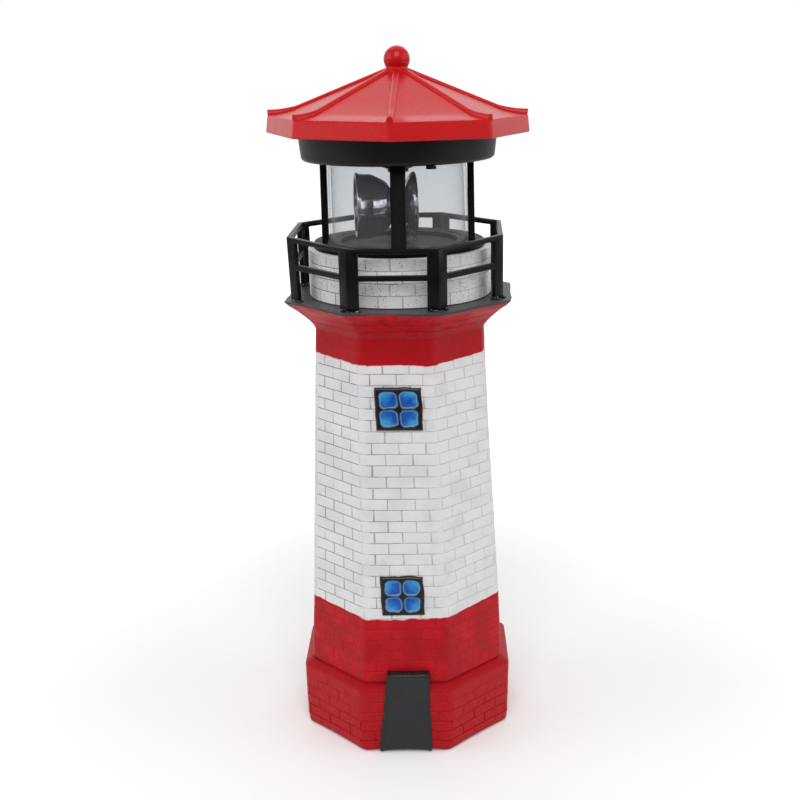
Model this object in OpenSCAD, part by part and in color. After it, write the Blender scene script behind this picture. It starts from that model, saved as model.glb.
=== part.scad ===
// Garden lighthouse ornament: a hollow cast tower with a black gallery rail, and a lift-out
// lantern head with a turning lamp under an eight-sided roof. Millimetres, +Z up, and the
// origin is at the middle of the foot, on the ground.

/* [Tower] */
// Half width across the flats at the foot
plinth_ap = 43.3; // [40:0.1:48]
// How much the plinth narrows towards the ground
plinth_draft = 0.6; // [0:0.1:1.5]
// Height of the plinth up to its sloping ledge
plinth_h = 28; // [20:0.5:40]
// Height of the sloping ledge on the plinth
ledge_h = 2.3; // [1:0.1:4]
// Half width across the flats of the shaft at the ledge
shaft_low_ap = 40.1; // [37:0.1:42]
// Half width across the flats of the shaft under the cove
shaft_top_ap = 33.4; // [33:0.1:36]
// Height of the shaft's top over the ground
shaft_h = 172; // [150:1:200]
// Height of the hollow moulding under the deck
cove_h = 10.8; // [8:0.1:14]
// Hollowness of that moulding: 1 is a straight slope
cove_curve = 1.4; // [1:0.1:3]
// Half width across the flats of the deck
deck_ap = 44.6; // [43.5:0.1:48]
// Thickness of the deck's edge
deck_t = 1.4; // [1:0.1:3]
// Wall of the casting
cast_wall = 5; // [4:0.1:6]
// Turn of the casting's eight sides against the lantern, in degrees
tower_turn = -2; // [-4:0.5:4]

/* [Drum] */
// Radius of the round drum on the deck
drum_r = 36.5; // [36:0.1:38]
// Height of the drum
drum_h = 19.2; // [15:0.1:24]
// Depth of the socket in the drum
socket_depth = 11.4; // [8:0.1:14]
// Radius of the passage under the socket
passage_r = 27; // [24:0.1:27.5]

/* [Windows and door] */
// Width of a window with its frame
window_w = 18; // [14:0.1:22]
// Height of a window with its frame
window_h = 17; // [14:0.1:20]
// Width of the window's frame and bars
window_bar = 1.7; // [1:0.1:2.5]
// How far a window stands out of the wall
window_proud = 1; // [0.6:0.1:2]
// Depth of the panes in their frame
pane_depth = 0.6; // [0.3:0.1:0.8]
// Height of the lower window's sill
low_window_z = 59; // [45:1:80]
// Height of the upper window's sill
high_window_z = 135.6; // [110:0.1:145]
// Height of the door
door_h = 36; // [32:0.5:40]
// Width of the door at the ground
door_low_w = 21.8; // [18:0.1:26]
// Width of the door at its head
door_top_w = 17.2; // [14:0.1:20]
// How far the door stands out of the plinth
door_proud = 0.8; // [0.5:0.1:1.5]
// Width of the raised border round the door
door_border = 1.5; // [1:0.1:2.5]
// Depth of the door's panel in its border
door_panel_depth = 0.5; // [0.2:0.1:0.8]

/* [Gallery rail] */
// Half width across the flats of the rail
rail_ap = 41.5; // [41:0.1:43]
// Thickness of the rail
rail_t = 2; // [1.5:0.1:2.5]
// Height of the rail over the deck
rail_h = 23.6; // [20:0.1:27]
// Height of the top rail's section
top_rail_h = 1.9; // [1.2:0.1:4]
// Height of the middle rail's underside over the deck
mid_rail_z = 11.6; // [8:0.1:14]
// Height of the middle rail's section
mid_rail_h = 2.1; // [1.2:0.1:4]
// Width of each leg of a corner post
rail_post_w = 4.4; // [3:0.1:6]
// Turn of the rail as it is glued on, in degrees
rail_turn = -2.5; // [-4:0.5:4]
// How far the rail is glued off the middle, across the front
rail_shift = -0.6; // [-1:0.1:1]

/* [Lantern cage] */
// Radius of the cage's flange, which rests on the drum
flange_r = 34; // [33:0.1:35.5]
// Thickness of the flange
flange_t = 2; // [1.8:0.1:3]
// Radius of the skirt that plugs into the drum
skirt_r = 31.1; // [30:0.1:32]
// Wall of the skirt
skirt_wall = 1.8; // [1.2:0.1:2.5]
// Length of the skirt
skirt_h = 11; // [7.5:0.1:11]
// Gap between the skirt and its socket
skirt_gap = 0.4; // [0.3:0.05:0.8]
// Radius of the sunk floor under the lamp
well_r = 23.6; // [20:0.1:24.5]
// Depth of the sunk floor under the flange's top
well_depth = 1.6; // [1.2:0.1:2]
// Thickness of the sunk floor
well_floor = 1.8; // [1.2:0.1:2.5]
// Radius over the outer faces of the four posts
post_out_r = 30.7; // [30:0.1:32]
// Radial thickness of a post
post_t = 2.5; // [2:0.1:2.7]
// Width of a post
post_w = 5.6; // [4:0.1:8]
// Height of the posts between flange and collar
post_h = 31.9; // [31.5:0.1:40]
// Height of the tenon on a post
tenon_h = 1.6; // [1:0.1:1.8]
// Inset of the tenon from the post's sides
tenon_inset = 0.5; // [0.3:0.05:0.8]

/* [Glazing] */
// Outer radius of the clear tube
glass_r = 27.8; // [27:0.1:27.9]
// Wall of the clear tube
glass_wall = 1.2; // [0.8:0.1:1.5]
// Depth of the groove that holds each end of the tube
groove_depth = 0.8; // [0.4:0.1:1]
// Gap between the tube and its grooves
groove_gap = 0.1; // [0.05:0.05:0.15]

/* [Collar housing] */
// Radius of the collar at its foot
collar_low_r = 38; // [38:0.1:39]
// Radius of the collar at its rim
collar_top_r = 39; // [39:0.1:40]
// Height of the collar below the eaves
collar_h = 10; // [8.5:0.1:12]
// How far the collar's rim laps into the roof
collar_lap = 2.2; // [1:0.1:3]
// Radius on the collar's lower edge
collar_edge_r = 1.6; // [0.5:0.1:1.8]
// Wall of the collar
collar_wall = 1.8; // [1.4:0.1:2]
// Thickness of the collar's floor
collar_floor = 2; // [2:0.1:2.5]
// Radius of the bearing boss under the floor
boss_r = 6; // [5.5:0.1:7]
// Length of the bearing boss under the floor
boss_h = 3.6; // [3:0.1:4]

/* [Roof] */
// Circumradius of the roof at the top of its fascia
eave_R = 50.9; // [49:0.1:54]
// How much wider the fascia is at its lower edge
fascia_draft = 0.7; // [0:0.1:1.5]
// Height of the fascia
fascia_h = 6.7; // [5:0.1:8]
// Rise of the hips for each millimetre of radius
hip_slope = 0.4; // [0.3:0.002:0.44]
// Circumradius where the slopes start to flare
flare_R = 41; // [40:0.1:43]
// Rise of the flare
flare_rise = 2; // [1:0.1:4]
// Share of that rise in the flare's upper half
flare_bend = 0.62; // [0.5:0.02:0.8]
// Wall of the roof
roof_wall = 2; // [1.6:0.1:2.4]
// Width of the raised rib on each hip
rib_w = 2.4; // [1.5:0.1:3]
// Height of the ribs over the slopes
rib_h = 0.9; // [0.5:0.1:1.5]
// Height of a rib's outer end over the top of the fascia
rib_end_h = 2.1; // [1:0.1:3]
// Turn of the roof on the collar, in degrees
roof_turn = -2.5; // [-5:0.5:5]
// Radius of the finial ball
finial_r = 5.1; // [4:0.1:6]
// Radius of the ball's neck
neck_r = 3.6; // [2.5:0.1:4]
// Height of the ball's centre over the point of the slopes
ball_rise = 2.5; // [2:0.1:5]
// Wall of the locating ring round the collar's rim
ring_wall = 1.6; // [1.2:0.1:2.5]
// Gap between the locating ring and the collar
ring_gap = 0.2; // [0.1:0.05:0.4]

/* [Solar panels] */
// Distance from the axis to a panel's upper edge
panel_in = 17; // [14:0.5:20]
// Length of a panel down the slope
panel_len = 20; // [14:0.5:20]
// Thickness of a panel
panel_t = 1.2; // [0.8:0.1:1.2]
// Radius of the hole under a panel for its lead
lead_hole_r = 1.1; // [0.9:0.1:1.5]
// Margin between a panel and the ribs
panel_margin = 2.4; // [1.5:0.1:4]
// Gap round a panel in its recess
panel_gap = 0.2; // [0.1:0.05:0.4]

/* [Lamp] */
// Height of the lamp's axis over the flange
lamp_rise = 13.4; // [13.2:0.1:16]
// Turn of the lamp at rest, in degrees
lamp_turn = 6; // [0:1:20]
// Radius of the deep reflector's mouth
deep_mouth_r = 12.2; // [11:0.1:12.4]
// Distance from the axis to the deep reflector's mouth
deep_reach = 17.2; // [13:0.1:18]
// Length of the straight wall behind the deep reflector's mouth
deep_sleeve = 6; // [1.5:0.1:8]
// How far the lip stands out round the deep reflector's mouth
deep_lip = 1.4; // [0.6:0.1:1.5]
// Radius of the shallow reflector's mouth
shallow_mouth_r = 12.2; // [11:0.1:12.4]
// Distance from the axis to the shallow reflector's mouth
shallow_reach = 6.6; // [6:0.1:9]
// Length of the straight wall behind the shallow reflector's mouth
shallow_sleeve = 1.8; // [1.5:0.1:2.5]
// How far the lip stands out round the shallow reflector's mouth
shallow_lip = 0.9; // [0.6:0.1:1.5]
// Roundness of the deep reflector: 1 is a cone
deep_bulge = 0.8; // [0.6:0.05:1]
// Roundness of the shallow reflector: 1 is a cone
shallow_bulge = 0.45; // [0.4:0.05:0.6]
// Wall of the reflectors
reflector_wall = 0.8; // [0.6:0.1:1.2]
// Thickness of the lip round each mouth
lip_t = 1.2; // [0.6:0.1:1.4]
// Outer radius of the tube between the reflectors
hub_r = 7.2; // [6.5:0.1:7.5]
// Wall of the tube between the reflectors
hub_wall = 1.4; // [1:0.1:1.8]
// Length of the tube on the deep reflector's side
hub_deep_len = 3.6; // [3:0.1:5]
// Length of the tube on the shallow reflector's side
hub_shallow_len = 2.8; // [2.6:0.1:3.4]
// Outer radius of the hollow spindle
spindle_r = 2.4; // [2.2:0.05:2.5]
// Wall of the hollow spindle
spindle_wall = 0.7; // [0.5:0.05:0.8]
// Radius of the spindle's shoulder
shoulder_r = 4.2; // [3.5:0.1:4.6]
// Thickness of the spindle's shoulder
shoulder_t = 1.2; // [0.8:0.1:1.4]
// Radius of the steel pivot under the lamp
pivot_r = 1; // [0.8:0.05:1.2]
// Height of the pivot's stub over the sunk floor
stub_rise = 3.6; // [1:0.1:4]
// How far the pivot reaches into its stub
pivot_in = 2.4; // [1.5:0.1:3]
// Wall of the stub that turns on the pivot
stub_wall = 1; // [0.8:0.05:1.5]
// Radius of the LED
led_r = 1.5; // [1.2:0.05:1.5]
// Height of the LED with its dome
led_h = 5.4; // [4:0.1:6]
// Radius of the LED's stem
led_stem_r = 1.2; // [0.9:0.05:1.3]
// Radius of the stem's head on the gearbox
stem_head_r = 2.4; // [1.8:0.1:3]
// Thickness of the stem's head
stem_head_t = 1; // [0.6:0.1:1.5]

/* [Drive] */
// Module of the gears
gear_m = 0.5; // [0.48:0.01:0.5]
// Teeth on the spindle gear
spindle_teeth = 40; // [40:4:44]
// Teeth on the idler's wheel
wheel_teeth = 40; // [36:4:44]
// Teeth on the idler's pinion
idler_teeth = 10; // [10:1:12]
// Teeth on the motor's pinion
motor_teeth = 8; // [8:1:10]
// Height of a tooth over the pitch circle, in modules
tooth_out = 0.85; // [0.7:0.05:0.9]
// Depth of a tooth under the pitch circle, in modules
tooth_in = 1.1; // [1:0.05:1.2]
// Width of a tooth's tip, as a share of half a pitch
tooth_tip = 0.5; // [0.3:0.05:0.6]
// Width of a tooth's root, as a share of half a pitch
tooth_root = 1.3; // [1:0.05:1.4]
// Face width of the gears
gear_face = 2.4; // [2:0.1:3]
// Radius of the motor's can
motor_r = 7.75; // [7:0.05:8]
// Height of the motor's can
motor_h = 9.8; // [8:0.1:10]
// Wall of the ring that the motor stands in, with its gap
motor_ring_t = 1.1; // [0.8:0.1:1.4]
// Height of the ring that the motor stands in
motor_ring_h = 3; // [2:0.1:6]
// Depth of the motor's bore for its shaft
motor_bore = 3; // [2:0.1:4]
// Radius of the motor's shaft
motor_shaft_r = 0.75; // [0.5:0.05:0.8]
// Distance of the motor from the spindle
motor_dist = 20; // [19:0.1:21]
// Radius of the idler's pin
idler_pin_r = 1; // [0.8:0.05:1.2]
// Outer radius of the spindle's bush
bush_r = 4; // [3.5:0.1:4.2]
// Thickness of the gearbox's plates
gear_plate_t = 1.5; // [1.2:0.1:1.8]
// Radius of the gearbox's pillars
pillar_r = 2; // [1.6:0.1:2.2]
// Radial clearance of the running fits
run_gap = 0.05; // [0.02:0.01:0.08]

/* [Battery and board] */
// Radius of the battery cell
cell_r = 5.25; // [5:0.05:5.3]
// Length of the battery cell
cell_len = 44.5; // [43:0.1:44.5]
// Distance of the cell in front of the axis
cell_front = 20.5; // [20:0.1:21]
// Wall of the cell's holder
holder_wall = 0.9; // [0.7:0.1:1]
// Thickness of the contact plates
contact_t = 0.4; // [0.3:0.05:0.5]
// Length of the circuit board
board_len = 30; // [24:0.5:32]
// Width of the circuit board
board_w = 10; // [8:0.1:10]
// Thickness of the circuit board
board_t = 1.2; // [0.8:0.1:1.6]
// Distance of the board's middle behind the axis
board_back = 24.5; // [24:0.1:24.8]
// Height of the posts under the board
board_rise = 3; // [2:0.1:5]
// Radius of the posts under the board
board_post_r = 1.6; // [1.2:0.1:2.5]
// Inset of those posts from the board's ends
board_post_inset = 3; // [2.5:0.1:6]
// Radius of the board's capacitor
capacitor_r = 2; // [1.5:0.1:2.2]
// Height of the board's capacitor
capacitor_h = 5; // [3:0.1:7]
// Length of the board's chip
chip_len = 5; // [3:0.1:6]
// Width of the board's chip
chip_w = 4; // [3:0.1:4.5]
// Height of the board's chip
chip_h = 1.6; // [1:0.1:2]
// Length of the battery cell's raised end
cell_nub = 1; // [0.6:0.1:1.5]
// Radius of the battery cell's raised end
cell_nub_r = 1.9; // [1.5:0.1:2.5]
// Height of the contact plates
contact_h = 8.4; // [6:0.1:9]
// Width of the contact plates
contact_w = 7.4; // [5:0.1:9]
// Radius of the insulated leads
lead_r = 0.55; // [0.4:0.05:0.6]

/* [Switch] */
// Direction of the switch from the axis, in degrees
switch_angle = -70; // [-75:1:-65]
// Distance of the switch from the axis
switch_dist = 33.9; // [33.7:0.1:33.9]
// Length of the switch's case
switch_len = 8.6; // [8.5:0.1:8.8]
// Width of the switch's case
switch_w = 3.6; // [3:0.1:3.6]
// Height of the switch's case
switch_h = 3.6; // [3:0.1:4.5]
// Travel of the knob
switch_travel = 2; // [1.5:0.1:2.2]
// Length of the knob
knob_len = 3.4; // [2.6:0.1:3.6]
// Width of the knob
knob_w = 2.4; // [2:0.1:2.6]
// Thickness of the knob
knob_t = 1.2; // [0.8:0.1:1.6]
// Width of the knob's stem
knob_stem = 1.4; // [1.2:0.1:1.6]
// How far the stem reaches into the case
stem_in_case = 1.2; // [0.8:0.1:2]

/* [Screws] */
// Radius of the housing screws
screw_r = 1.2; // [1:0.05:1.3]
// Radius of the housing screws' heads
screw_head_r = 2.3; // [2:0.05:2.5]
// Thickness of the screws' heads
screw_head_t = 1.2; // [0.8:0.05:1.4]
// Length of the housing screws under the head
screw_len = 8; // [6:0.5:10]
// Wall of the roof's screw bosses
screw_boss_wall = 1.5; // [1.2:0.1:1.6]
// Width of the cross slots in the screws' heads
screw_slot_w = 0.6; // [0.4:0.1:0.8]
// Depth of the cross slots
screw_slot_depth = 0.5; // [0.3:0.1:0.7]
// Distance of the housing screws from the axis
screw_dist = 33; // [32.5:0.1:33]
// Radius of the gearbox's small screws
small_screw_r = 0.8; // [0.6:0.05:0.9]
// Length of the gearbox's small screws
small_screw_len = 5; // [4:0.5:7]
// Radius of the small screws' heads
small_head_r = 1.6; // [1.2:0.1:1.8]
// Thickness of the small screws' heads
small_head_t = 0.9; // [0.6:0.1:1.2]

/* [Hidden] */

$fn = 96;
SIDES = 8;
FLAT = 180 / SIDES;
FRONT = -90;
OVER = 1; // how far a cutting tool passes the face that it cuts
AIR = 0.3; // free gap between pieces that move past each other
EASE = 0.1; // gap between fixed pieces that are slipped together
paint_red = [0.70, 0.10, 0.14];
roof_red = [0.80, 0.12, 0.12];
black = [0.10, 0.10, 0.11];
lead_red = [0.75, 0.15, 0.12];
gear_ivory = [0.90, 0.88, 0.80];
off_white = [0.86, 0.86, 0.86];
silver = [0.80, 0.80, 0.82];
brass = [0.78, 0.62, 0.32];

// Levels over the ground
deck_z = shaft_h + cove_h + deck_t;
drum_z = deck_z + drum_h;
ledge_z = drum_z - socket_depth;
flange_z = drum_z + flange_t;
well_z = flange_z - well_depth;
collar_z = flange_z + post_h;
floor_z = collar_z + collar_floor;
eave_z = collar_z + collar_h;
fascia_z = eave_z + fascia_h;
apex_z = fascia_z + flare_rise + hip_slope * flare_R;
ball_z = apex_z + ball_rise;
lamp_z = flange_z + lamp_rise;

// Places that follow from those
socket_r = skirt_r + skirt_gap;
shaft_lean = (shaft_low_ap - shaft_top_ap) / (shaft_h - plinth_h - ledge_h);
lean_deg = atan(shaft_lean);
glass_in_r = glass_r - glass_wall;
collar_in_r = collar_low_r - collar_wall;
ring_in_r = collar_top_r + ring_gap;
slope_deg = atan(hip_slope / cos(FLAT));
mesh_spindle = gear_m * (spindle_teeth + idler_teeth) / 2;
mesh_motor = gear_m * (wheel_teeth + motor_teeth) / 2;
idler_off = acos((pow(mesh_spindle, 2) + pow(motor_dist, 2) - pow(mesh_motor, 2))
    / (2 * mesh_spindle * motor_dist));
motor_x = -motor_dist;
idler_angle = 180 - idler_off;
idler_x = mesh_spindle * cos(idler_angle);
idler_y = mesh_spindle * sin(idler_angle);
motor_seat_z = floor_z + gear_plate_t;
motor_top_z = motor_seat_z + motor_h;
wheel_z = motor_top_z + 2 * AIR;
low_gear_z = wheel_z - 2 * AIR - gear_face - EASE;
lid_z = wheel_z + gear_face + 2 * AIR;
lid_top_z = lid_z + gear_plate_t;
bush_low_z = collar_z - boss_h;
bush_top_z = low_gear_z - AIR;
spindle_top_z = wheel_z - AIR;
shoulder_z = bush_low_z - AIR - shoulder_t;
stub_z = well_z + stub_rise;
pivot_top_z = stub_z + pivot_in;
led_z = lamp_z - led_h / 2;
board_z = floor_z + board_rise;
cell_z = floor_z + holder_wall + cell_r + EASE;
cell_end = cell_len / 2 + 2 * contact_t + EASE;
holder_end = cell_end + holder_wall;
housing_screw_angles = [90, 210, 330];

// The idler has a tooth on its wheel towards the motor, and a gap on its pinion towards the
// spindle, where the spindle gear has a tooth
idler_to_motor = atan2(-idler_y, motor_x - idler_x);
motor_mesh_turn = idler_to_motor + 180 + 180 / motor_teeth;
pinion_turn = idler_angle + 180 + 180 / idler_teeth;

// The pillars stand just clear of the spindle gear and against the motor's ring
gear_tip_r = gear_m * (spindle_teeth / 2 + 1);
spindle_pillar_dist = gear_tip_r + 2 * AIR + pillar_r;
motor_pillar_dist = motor_r + motor_ring_t + pillar_r;
pillars = [[0, -45, spindle_pillar_dist], [0, 57, spindle_pillar_dist],
    [motor_x, 114, motor_pillar_dist]];

// Half width of a regular eight-sided ring turned into its corner radius
function corner(half_width) = half_width / cos(FLAT);
// Half width of the shaft at a height
function shaft_ap(z) = shaft_low_ap - shaft_lean * (z - plinth_h - ledge_h);
// Height of the roof's hips at a corner radius, before the flare
function hip_z(R) = apex_z - hip_slope * R;

// Eight flat sides, with a flat to the front
module eight_sided(profile) {
    rotate([0, 0, FLAT]) rotate_extrude($fn = SIDES) polygon(profile);
}

// Lays its children on the front wall of the shaft: X across, Y up the wall, Z outwards
module on_wall(z) {
    translate([0, -shaft_ap(z), z]) rotate([90 - lean_deg, 0, 0]) children();
}

module ring(r_out, r_in, z, h) {
    translate([0, 0, z]) difference() {
        cylinder(r = r_out, h = h);
        translate([0, 0, -OVER]) cylinder(r = r_in, h = h + 2 * OVER);
    }
}

module at_polar(r, angle, z) {
    rotate([0, 0, angle]) translate([r, 0, z]) children();
}

/* ---------- tower ---------- */

// The hollow moulding that carries the deck: upright at the shaft, leaning out to the deck
function cove_profile(steps = 6) = [for (i = [0:steps])
    let (t = i / steps)
    [corner(shaft_top_ap + (deck_ap - shaft_top_ap) * pow(t, cove_curve)), shaft_h + cove_h * t]];

module tower_outside() {
    foot_R = corner(plinth_ap - plinth_draft);
    eight_sided(concat([[0, 0], [foot_R, 0], [corner(plinth_ap), plinth_h],
        [corner(shaft_low_ap), plinth_h + ledge_h]], cove_profile(),
        [[corner(deck_ap), deck_z], [0, deck_z]]));
}

module window(sill_z) {
    pane_w = (window_w - 3 * window_bar) / 2;
    pane_h = (window_h - 3 * window_bar) / 2;
    on_wall(sill_z) difference() {
        translate([-window_w / 2, 0, -cast_wall / 2])
            cube([window_w, window_h, cast_wall / 2 + window_proud]);
        for (i = [0, 1], j = [0, 1])
            translate([-window_w / 2 + window_bar + i * (pane_w + window_bar),
                window_bar + j * (pane_h + window_bar), window_proud - pane_depth])
                cube([pane_w, pane_h, pane_depth + OVER]);
    }
}

module door_outline(inset) {
    polygon([[-door_low_w / 2 + inset, 0], [door_low_w / 2 - inset, 0],
        [door_top_w / 2 - inset, door_h - inset], [-door_top_w / 2 + inset, door_h - inset]]);
}

module door() {
    face_y = -plinth_ap - door_proud;
    difference() {
        translate([0, face_y + door_proud + cast_wall, 0]) rotate([90, 0, 0])
            linear_extrude(height = door_proud + cast_wall) door_outline(0);
        translate([0, face_y + door_panel_depth, -OVER]) rotate([90, 0, 0])
            linear_extrude(height = door_panel_depth + OVER) door_outline(door_border);
    }
}

module tower_hollow() {
    hollow_top = shaft_h - cast_wall;
    rotate([0, 0, tower_turn]) eight_sided([[0, -OVER],
        [corner(plinth_ap - plinth_draft - cast_wall), -OVER],
        [corner(shaft_low_ap - cast_wall), plinth_h],
        [corner(shaft_ap(hollow_top) - cast_wall), hollow_top], [0, hollow_top]]);
    translate([0, 0, hollow_top - OVER]) cylinder(r = passage_r, h = drum_z - hollow_top);
    translate([0, 0, ledge_z]) cylinder(r = socket_r, h = socket_depth + OVER);
}

module tower_casting() {
    color(paint_red) difference() {
        union() {
            rotate([0, 0, tower_turn]) {
                tower_outside();
                window(low_window_z);
                window(high_window_z);
                door();
            }
            translate([0, 0, deck_z - OVER]) cylinder(r = drum_r, h = drum_h + OVER);
        }
        tower_hollow();
    }
}

module gallery_rail() {
    side = 2 * rail_ap * tan(FLAT);
    bay_w = side - 2 * rail_post_w;
    low_bay = [-OVER, mid_rail_z];
    high_bay = [mid_rail_z + mid_rail_h, rail_h - top_rail_h];
    color(black) translate([rail_shift, 0, deck_z]) rotate([0, 0, rail_turn]) difference() {
        rotate([0, 0, FLAT]) linear_extrude(height = rail_h) difference() {
            circle(r = corner(rail_ap), $fn = SIDES);
            circle(r = corner(rail_ap - rail_t), $fn = SIDES);
        }
        for (i = [0:SIDES - 1], bay = [low_bay, high_bay])
            rotate([0, 0, i * 2 * FLAT])
                translate([rail_ap - rail_t - OVER, -bay_w / 2, bay[0]])
                    cube([rail_t + 2 * OVER, bay_w, bay[1] - bay[0]]);
    }
}

/* ---------- lantern ---------- */

module cage_post() {
    post_in_r = post_out_r - post_t;
    tenon_t = post_t - 2 * tenon_inset;
    translate([post_in_r, -post_w / 2, flange_z - OVER]) cube([post_t, post_w, post_h + OVER]);
    translate([post_in_r + tenon_inset, -post_w / 2 + tenon_inset, collar_z])
        cube([tenon_t, post_w - 2 * tenon_inset, tenon_h]);
}

module groove(z) {
    ring(glass_r + groove_gap, glass_in_r - groove_gap, z, groove_depth + OVER);
}

module lantern_cage() {
    color(black) difference() {
        union() {
            translate([0, 0, drum_z]) cylinder(r = flange_r, h = flange_t);
            ring(skirt_r, skirt_r - skirt_wall, drum_z - skirt_h, skirt_h + OVER);
            translate([0, 0, well_z - well_floor]) cylinder(r = skirt_r - OVER, h = well_floor);
            for (i = [0:3]) rotate([0, 0, 90 * i]) cage_post();
        }
        translate([0, 0, well_z]) cylinder(r = well_r, h = well_depth + OVER);
        translate([0, 0, well_z - well_floor - OVER])
            cylinder(r = pivot_r, h = well_floor + 2 * OVER);
        groove(flange_z - groove_depth);
    }
}

module glazing_tube() {
    low = flange_z - groove_depth;
    color([0.85, 0.92, 0.95, 0.3])
        ring(glass_r, glass_in_r, low, post_h + 2 * groove_depth);
}

module collar_outside() {
    rim_z = eave_z + collar_lap;
    edge = [for (i = [0:4]) let (a = 22.5 * i)
        [collar_low_r - collar_edge_r * (1 - sin(a)), collar_z + collar_edge_r * (1 - cos(a))]];
    rotate_extrude() polygon(concat([[0, collar_z]], edge,
        [[collar_top_r, eave_z], [collar_top_r, rim_z], [0, rim_z]]));
}

module collar_housing() {
    color(black) difference() {
        union() {
            difference() {
                collar_outside();
                translate([0, 0, floor_z]) cylinder(r = collar_in_r, h = collar_h + collar_lap);
            }
            translate([0, 0, bush_low_z]) cylinder(r = boss_r, h = boss_h + OVER);
            for (x = [-1, 1] * (board_len / 2 - board_post_inset))
                translate([x, board_back, floor_z - OVER])
                    cylinder(r = board_post_r, h = board_rise + OVER);
        }
        translate([0, 0, bush_low_z - OVER])
            cylinder(r = bush_r, h = boss_h + collar_floor + 2 * OVER);
        for (a = housing_screw_angles) at_polar(screw_dist, a, collar_z - OVER) {
            cylinder(r = screw_r + EASE, h = collar_floor + 2 * OVER);
            cylinder(r = screw_head_r + EASE, h = OVER + screw_head_t);
        }
        for (i = [0:3]) rotate([0, 0, 90 * i])
            translate([post_out_r - post_t + tenon_inset - EASE, -post_w / 2 + tenon_inset - EASE,
                collar_z - OVER])
                cube([post_t - 2 * (tenon_inset - EASE), post_w - 2 * (tenon_inset - EASE),
                    tenon_h + EASE + OVER]);
        switch_slot(collar_z - OVER, collar_floor + 2 * OVER);
        translate([0, 0, -OVER]) groove(collar_z);
    }
}

// The way that the knob's stem needs: as long as the stem and its travel
module switch_slot(z, h) {
    slot_len = knob_stem + switch_travel + 2 * AIR;
    slot_w = knob_stem + 2 * AIR;
    at_polar(switch_dist - slot_w / 2, switch_angle, z)
        translate([0, -slot_len / 2, 0]) cube([slot_w, slot_len, h]);
}

/* ---------- roof ---------- */

// Outline of one hip, from the axis out and down to the eaves, dropped by a depth
function hip_line(drop) = [[0, apex_z - drop], [flare_R, hip_z(flare_R) - drop],
    [(flare_R + eave_R) / 2, hip_z(flare_R) - flare_rise * flare_bend - drop],
    [eave_R, fascia_z - drop]];

module roof_form(inset) {
    drop = inset / cos(slope_deg);
    side = inset / cos(FLAT);
    line = hip_line(drop);
    shrink = inset > 0 ? side : 0;
    low_z = inset > 0 ? eave_z - OVER : eave_z;
    rotate([0, 0, FRONT + roof_turn]) rotate_extrude($fn = SIDES)
        polygon([line[0], line[1], [line[2][0] - shrink, line[2][1]],
            [eave_R - shrink, fascia_z - drop], [eave_R + fascia_draft - shrink, low_z],
            [0, low_z]]);
}

module hip_rib() {
    top = hip_line(-rib_h);
    low = hip_line(roof_wall / 2);
    end_R = eave_R - rib_w / 2 * tan(FLAT);
    rotate([90, 0, 0]) translate([0, 0, -rib_w / 2]) linear_extrude(height = rib_w)
        polygon([top[0], [flare_R - rib_w, hip_z(flare_R - rib_w) + rib_h],
            [top[2][0], fascia_z + 1.25 * rib_end_h], [end_R, fascia_z + rib_end_h],
            [end_R, fascia_z - rib_h], low[2], low[1], low[0]]);
}

// Lays its children on a rear slope: X down the slope from the panel's upper edge, Z outwards
module on_slope(side) {
    rotate([0, 0, 90 + side * FLAT + roof_turn])
        translate([panel_in, 0, apex_z - panel_in * tan(slope_deg)])
            rotate([0, slope_deg, 0]) children();
}

module panel_outline(grow) {
    far = panel_in + panel_len * cos(slope_deg);
    w_in = panel_in * tan(FLAT) - panel_margin + grow;
    w_far = far * tan(FLAT) - panel_margin + grow;
    polygon([[-grow, -w_in], [panel_len + grow, -w_far], [panel_len + grow, w_far], [-grow, w_in]]);
}

module panel_recess(side) {
    on_slope(side) translate([0, 0, -panel_t - panel_gap / 2])
        linear_extrude(height = panel_t + 2 * OVER) panel_outline(panel_gap);
}

module roof_shell() {
    boss_out_r = screw_r + screw_boss_wall;
    color(roof_red) {
        difference() {
            union() {
                difference() {
                    roof_form(0);
                    roof_form(roof_wall);
                }
                intersection() {
                    union() {
                        ring(ring_in_r + ring_wall, ring_in_r, eave_z, apex_z - eave_z);
                        for (a = housing_screw_angles)
                            at_polar(screw_dist, a, floor_z)
                                cylinder(r = boss_out_r, h = apex_z - floor_z);
                    }
                    union() {
                        roof_form(roof_wall / 2);
                        translate([0, 0, floor_z]) cylinder(r = collar_in_r, h = collar_h);
                    }
                }
                for (i = [0:SIDES - 1])
                    rotate([0, 0, FRONT + roof_turn + 2 * FLAT * i]) hip_rib();
                translate([0, 0, apex_z - finial_r]) cylinder(r = neck_r, h = finial_r);
                translate([0, 0, ball_z]) sphere(r = finial_r);
            }
            for (side = [-1, 1]) panel_recess(side);
            for (side = [-1, 1]) on_slope(side)
                translate([panel_len / 3, 0, -2 * roof_wall])
                    cylinder(r = lead_hole_r, h = 2 * roof_wall);
            for (a = housing_screw_angles) at_polar(screw_dist, a, floor_z - OVER)
                cylinder(r = screw_r, h = screw_len - collar_floor + screw_head_t + OVER + EASE);
        }
    }
}

module solar_panels() {
    color([0.08, 0.12, 0.30]) for (side = [-1, 1])
        on_slope(side) translate([0, 0, -panel_t - panel_gap / 2])
            linear_extrude(height = panel_t) panel_outline(0);
}

module housing_screws() {
    color(silver) for (a = housing_screw_angles) at_polar(screw_dist, a, collar_z) {
        difference() {
            cylinder(r = screw_head_r, h = screw_head_t);
            for (q = [0, 90]) rotate([0, 0, q])
                translate([-screw_head_r * 0.6, -screw_slot_w / 2, -OVER])
                    cube([screw_head_r * 1.2, screw_slot_w, OVER + screw_slot_depth]);
        }
        translate([0, 0, screw_head_t]) cylinder(r = screw_r - EASE, h = screw_len);
    }
}

/* ---------- drive ---------- */

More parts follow.
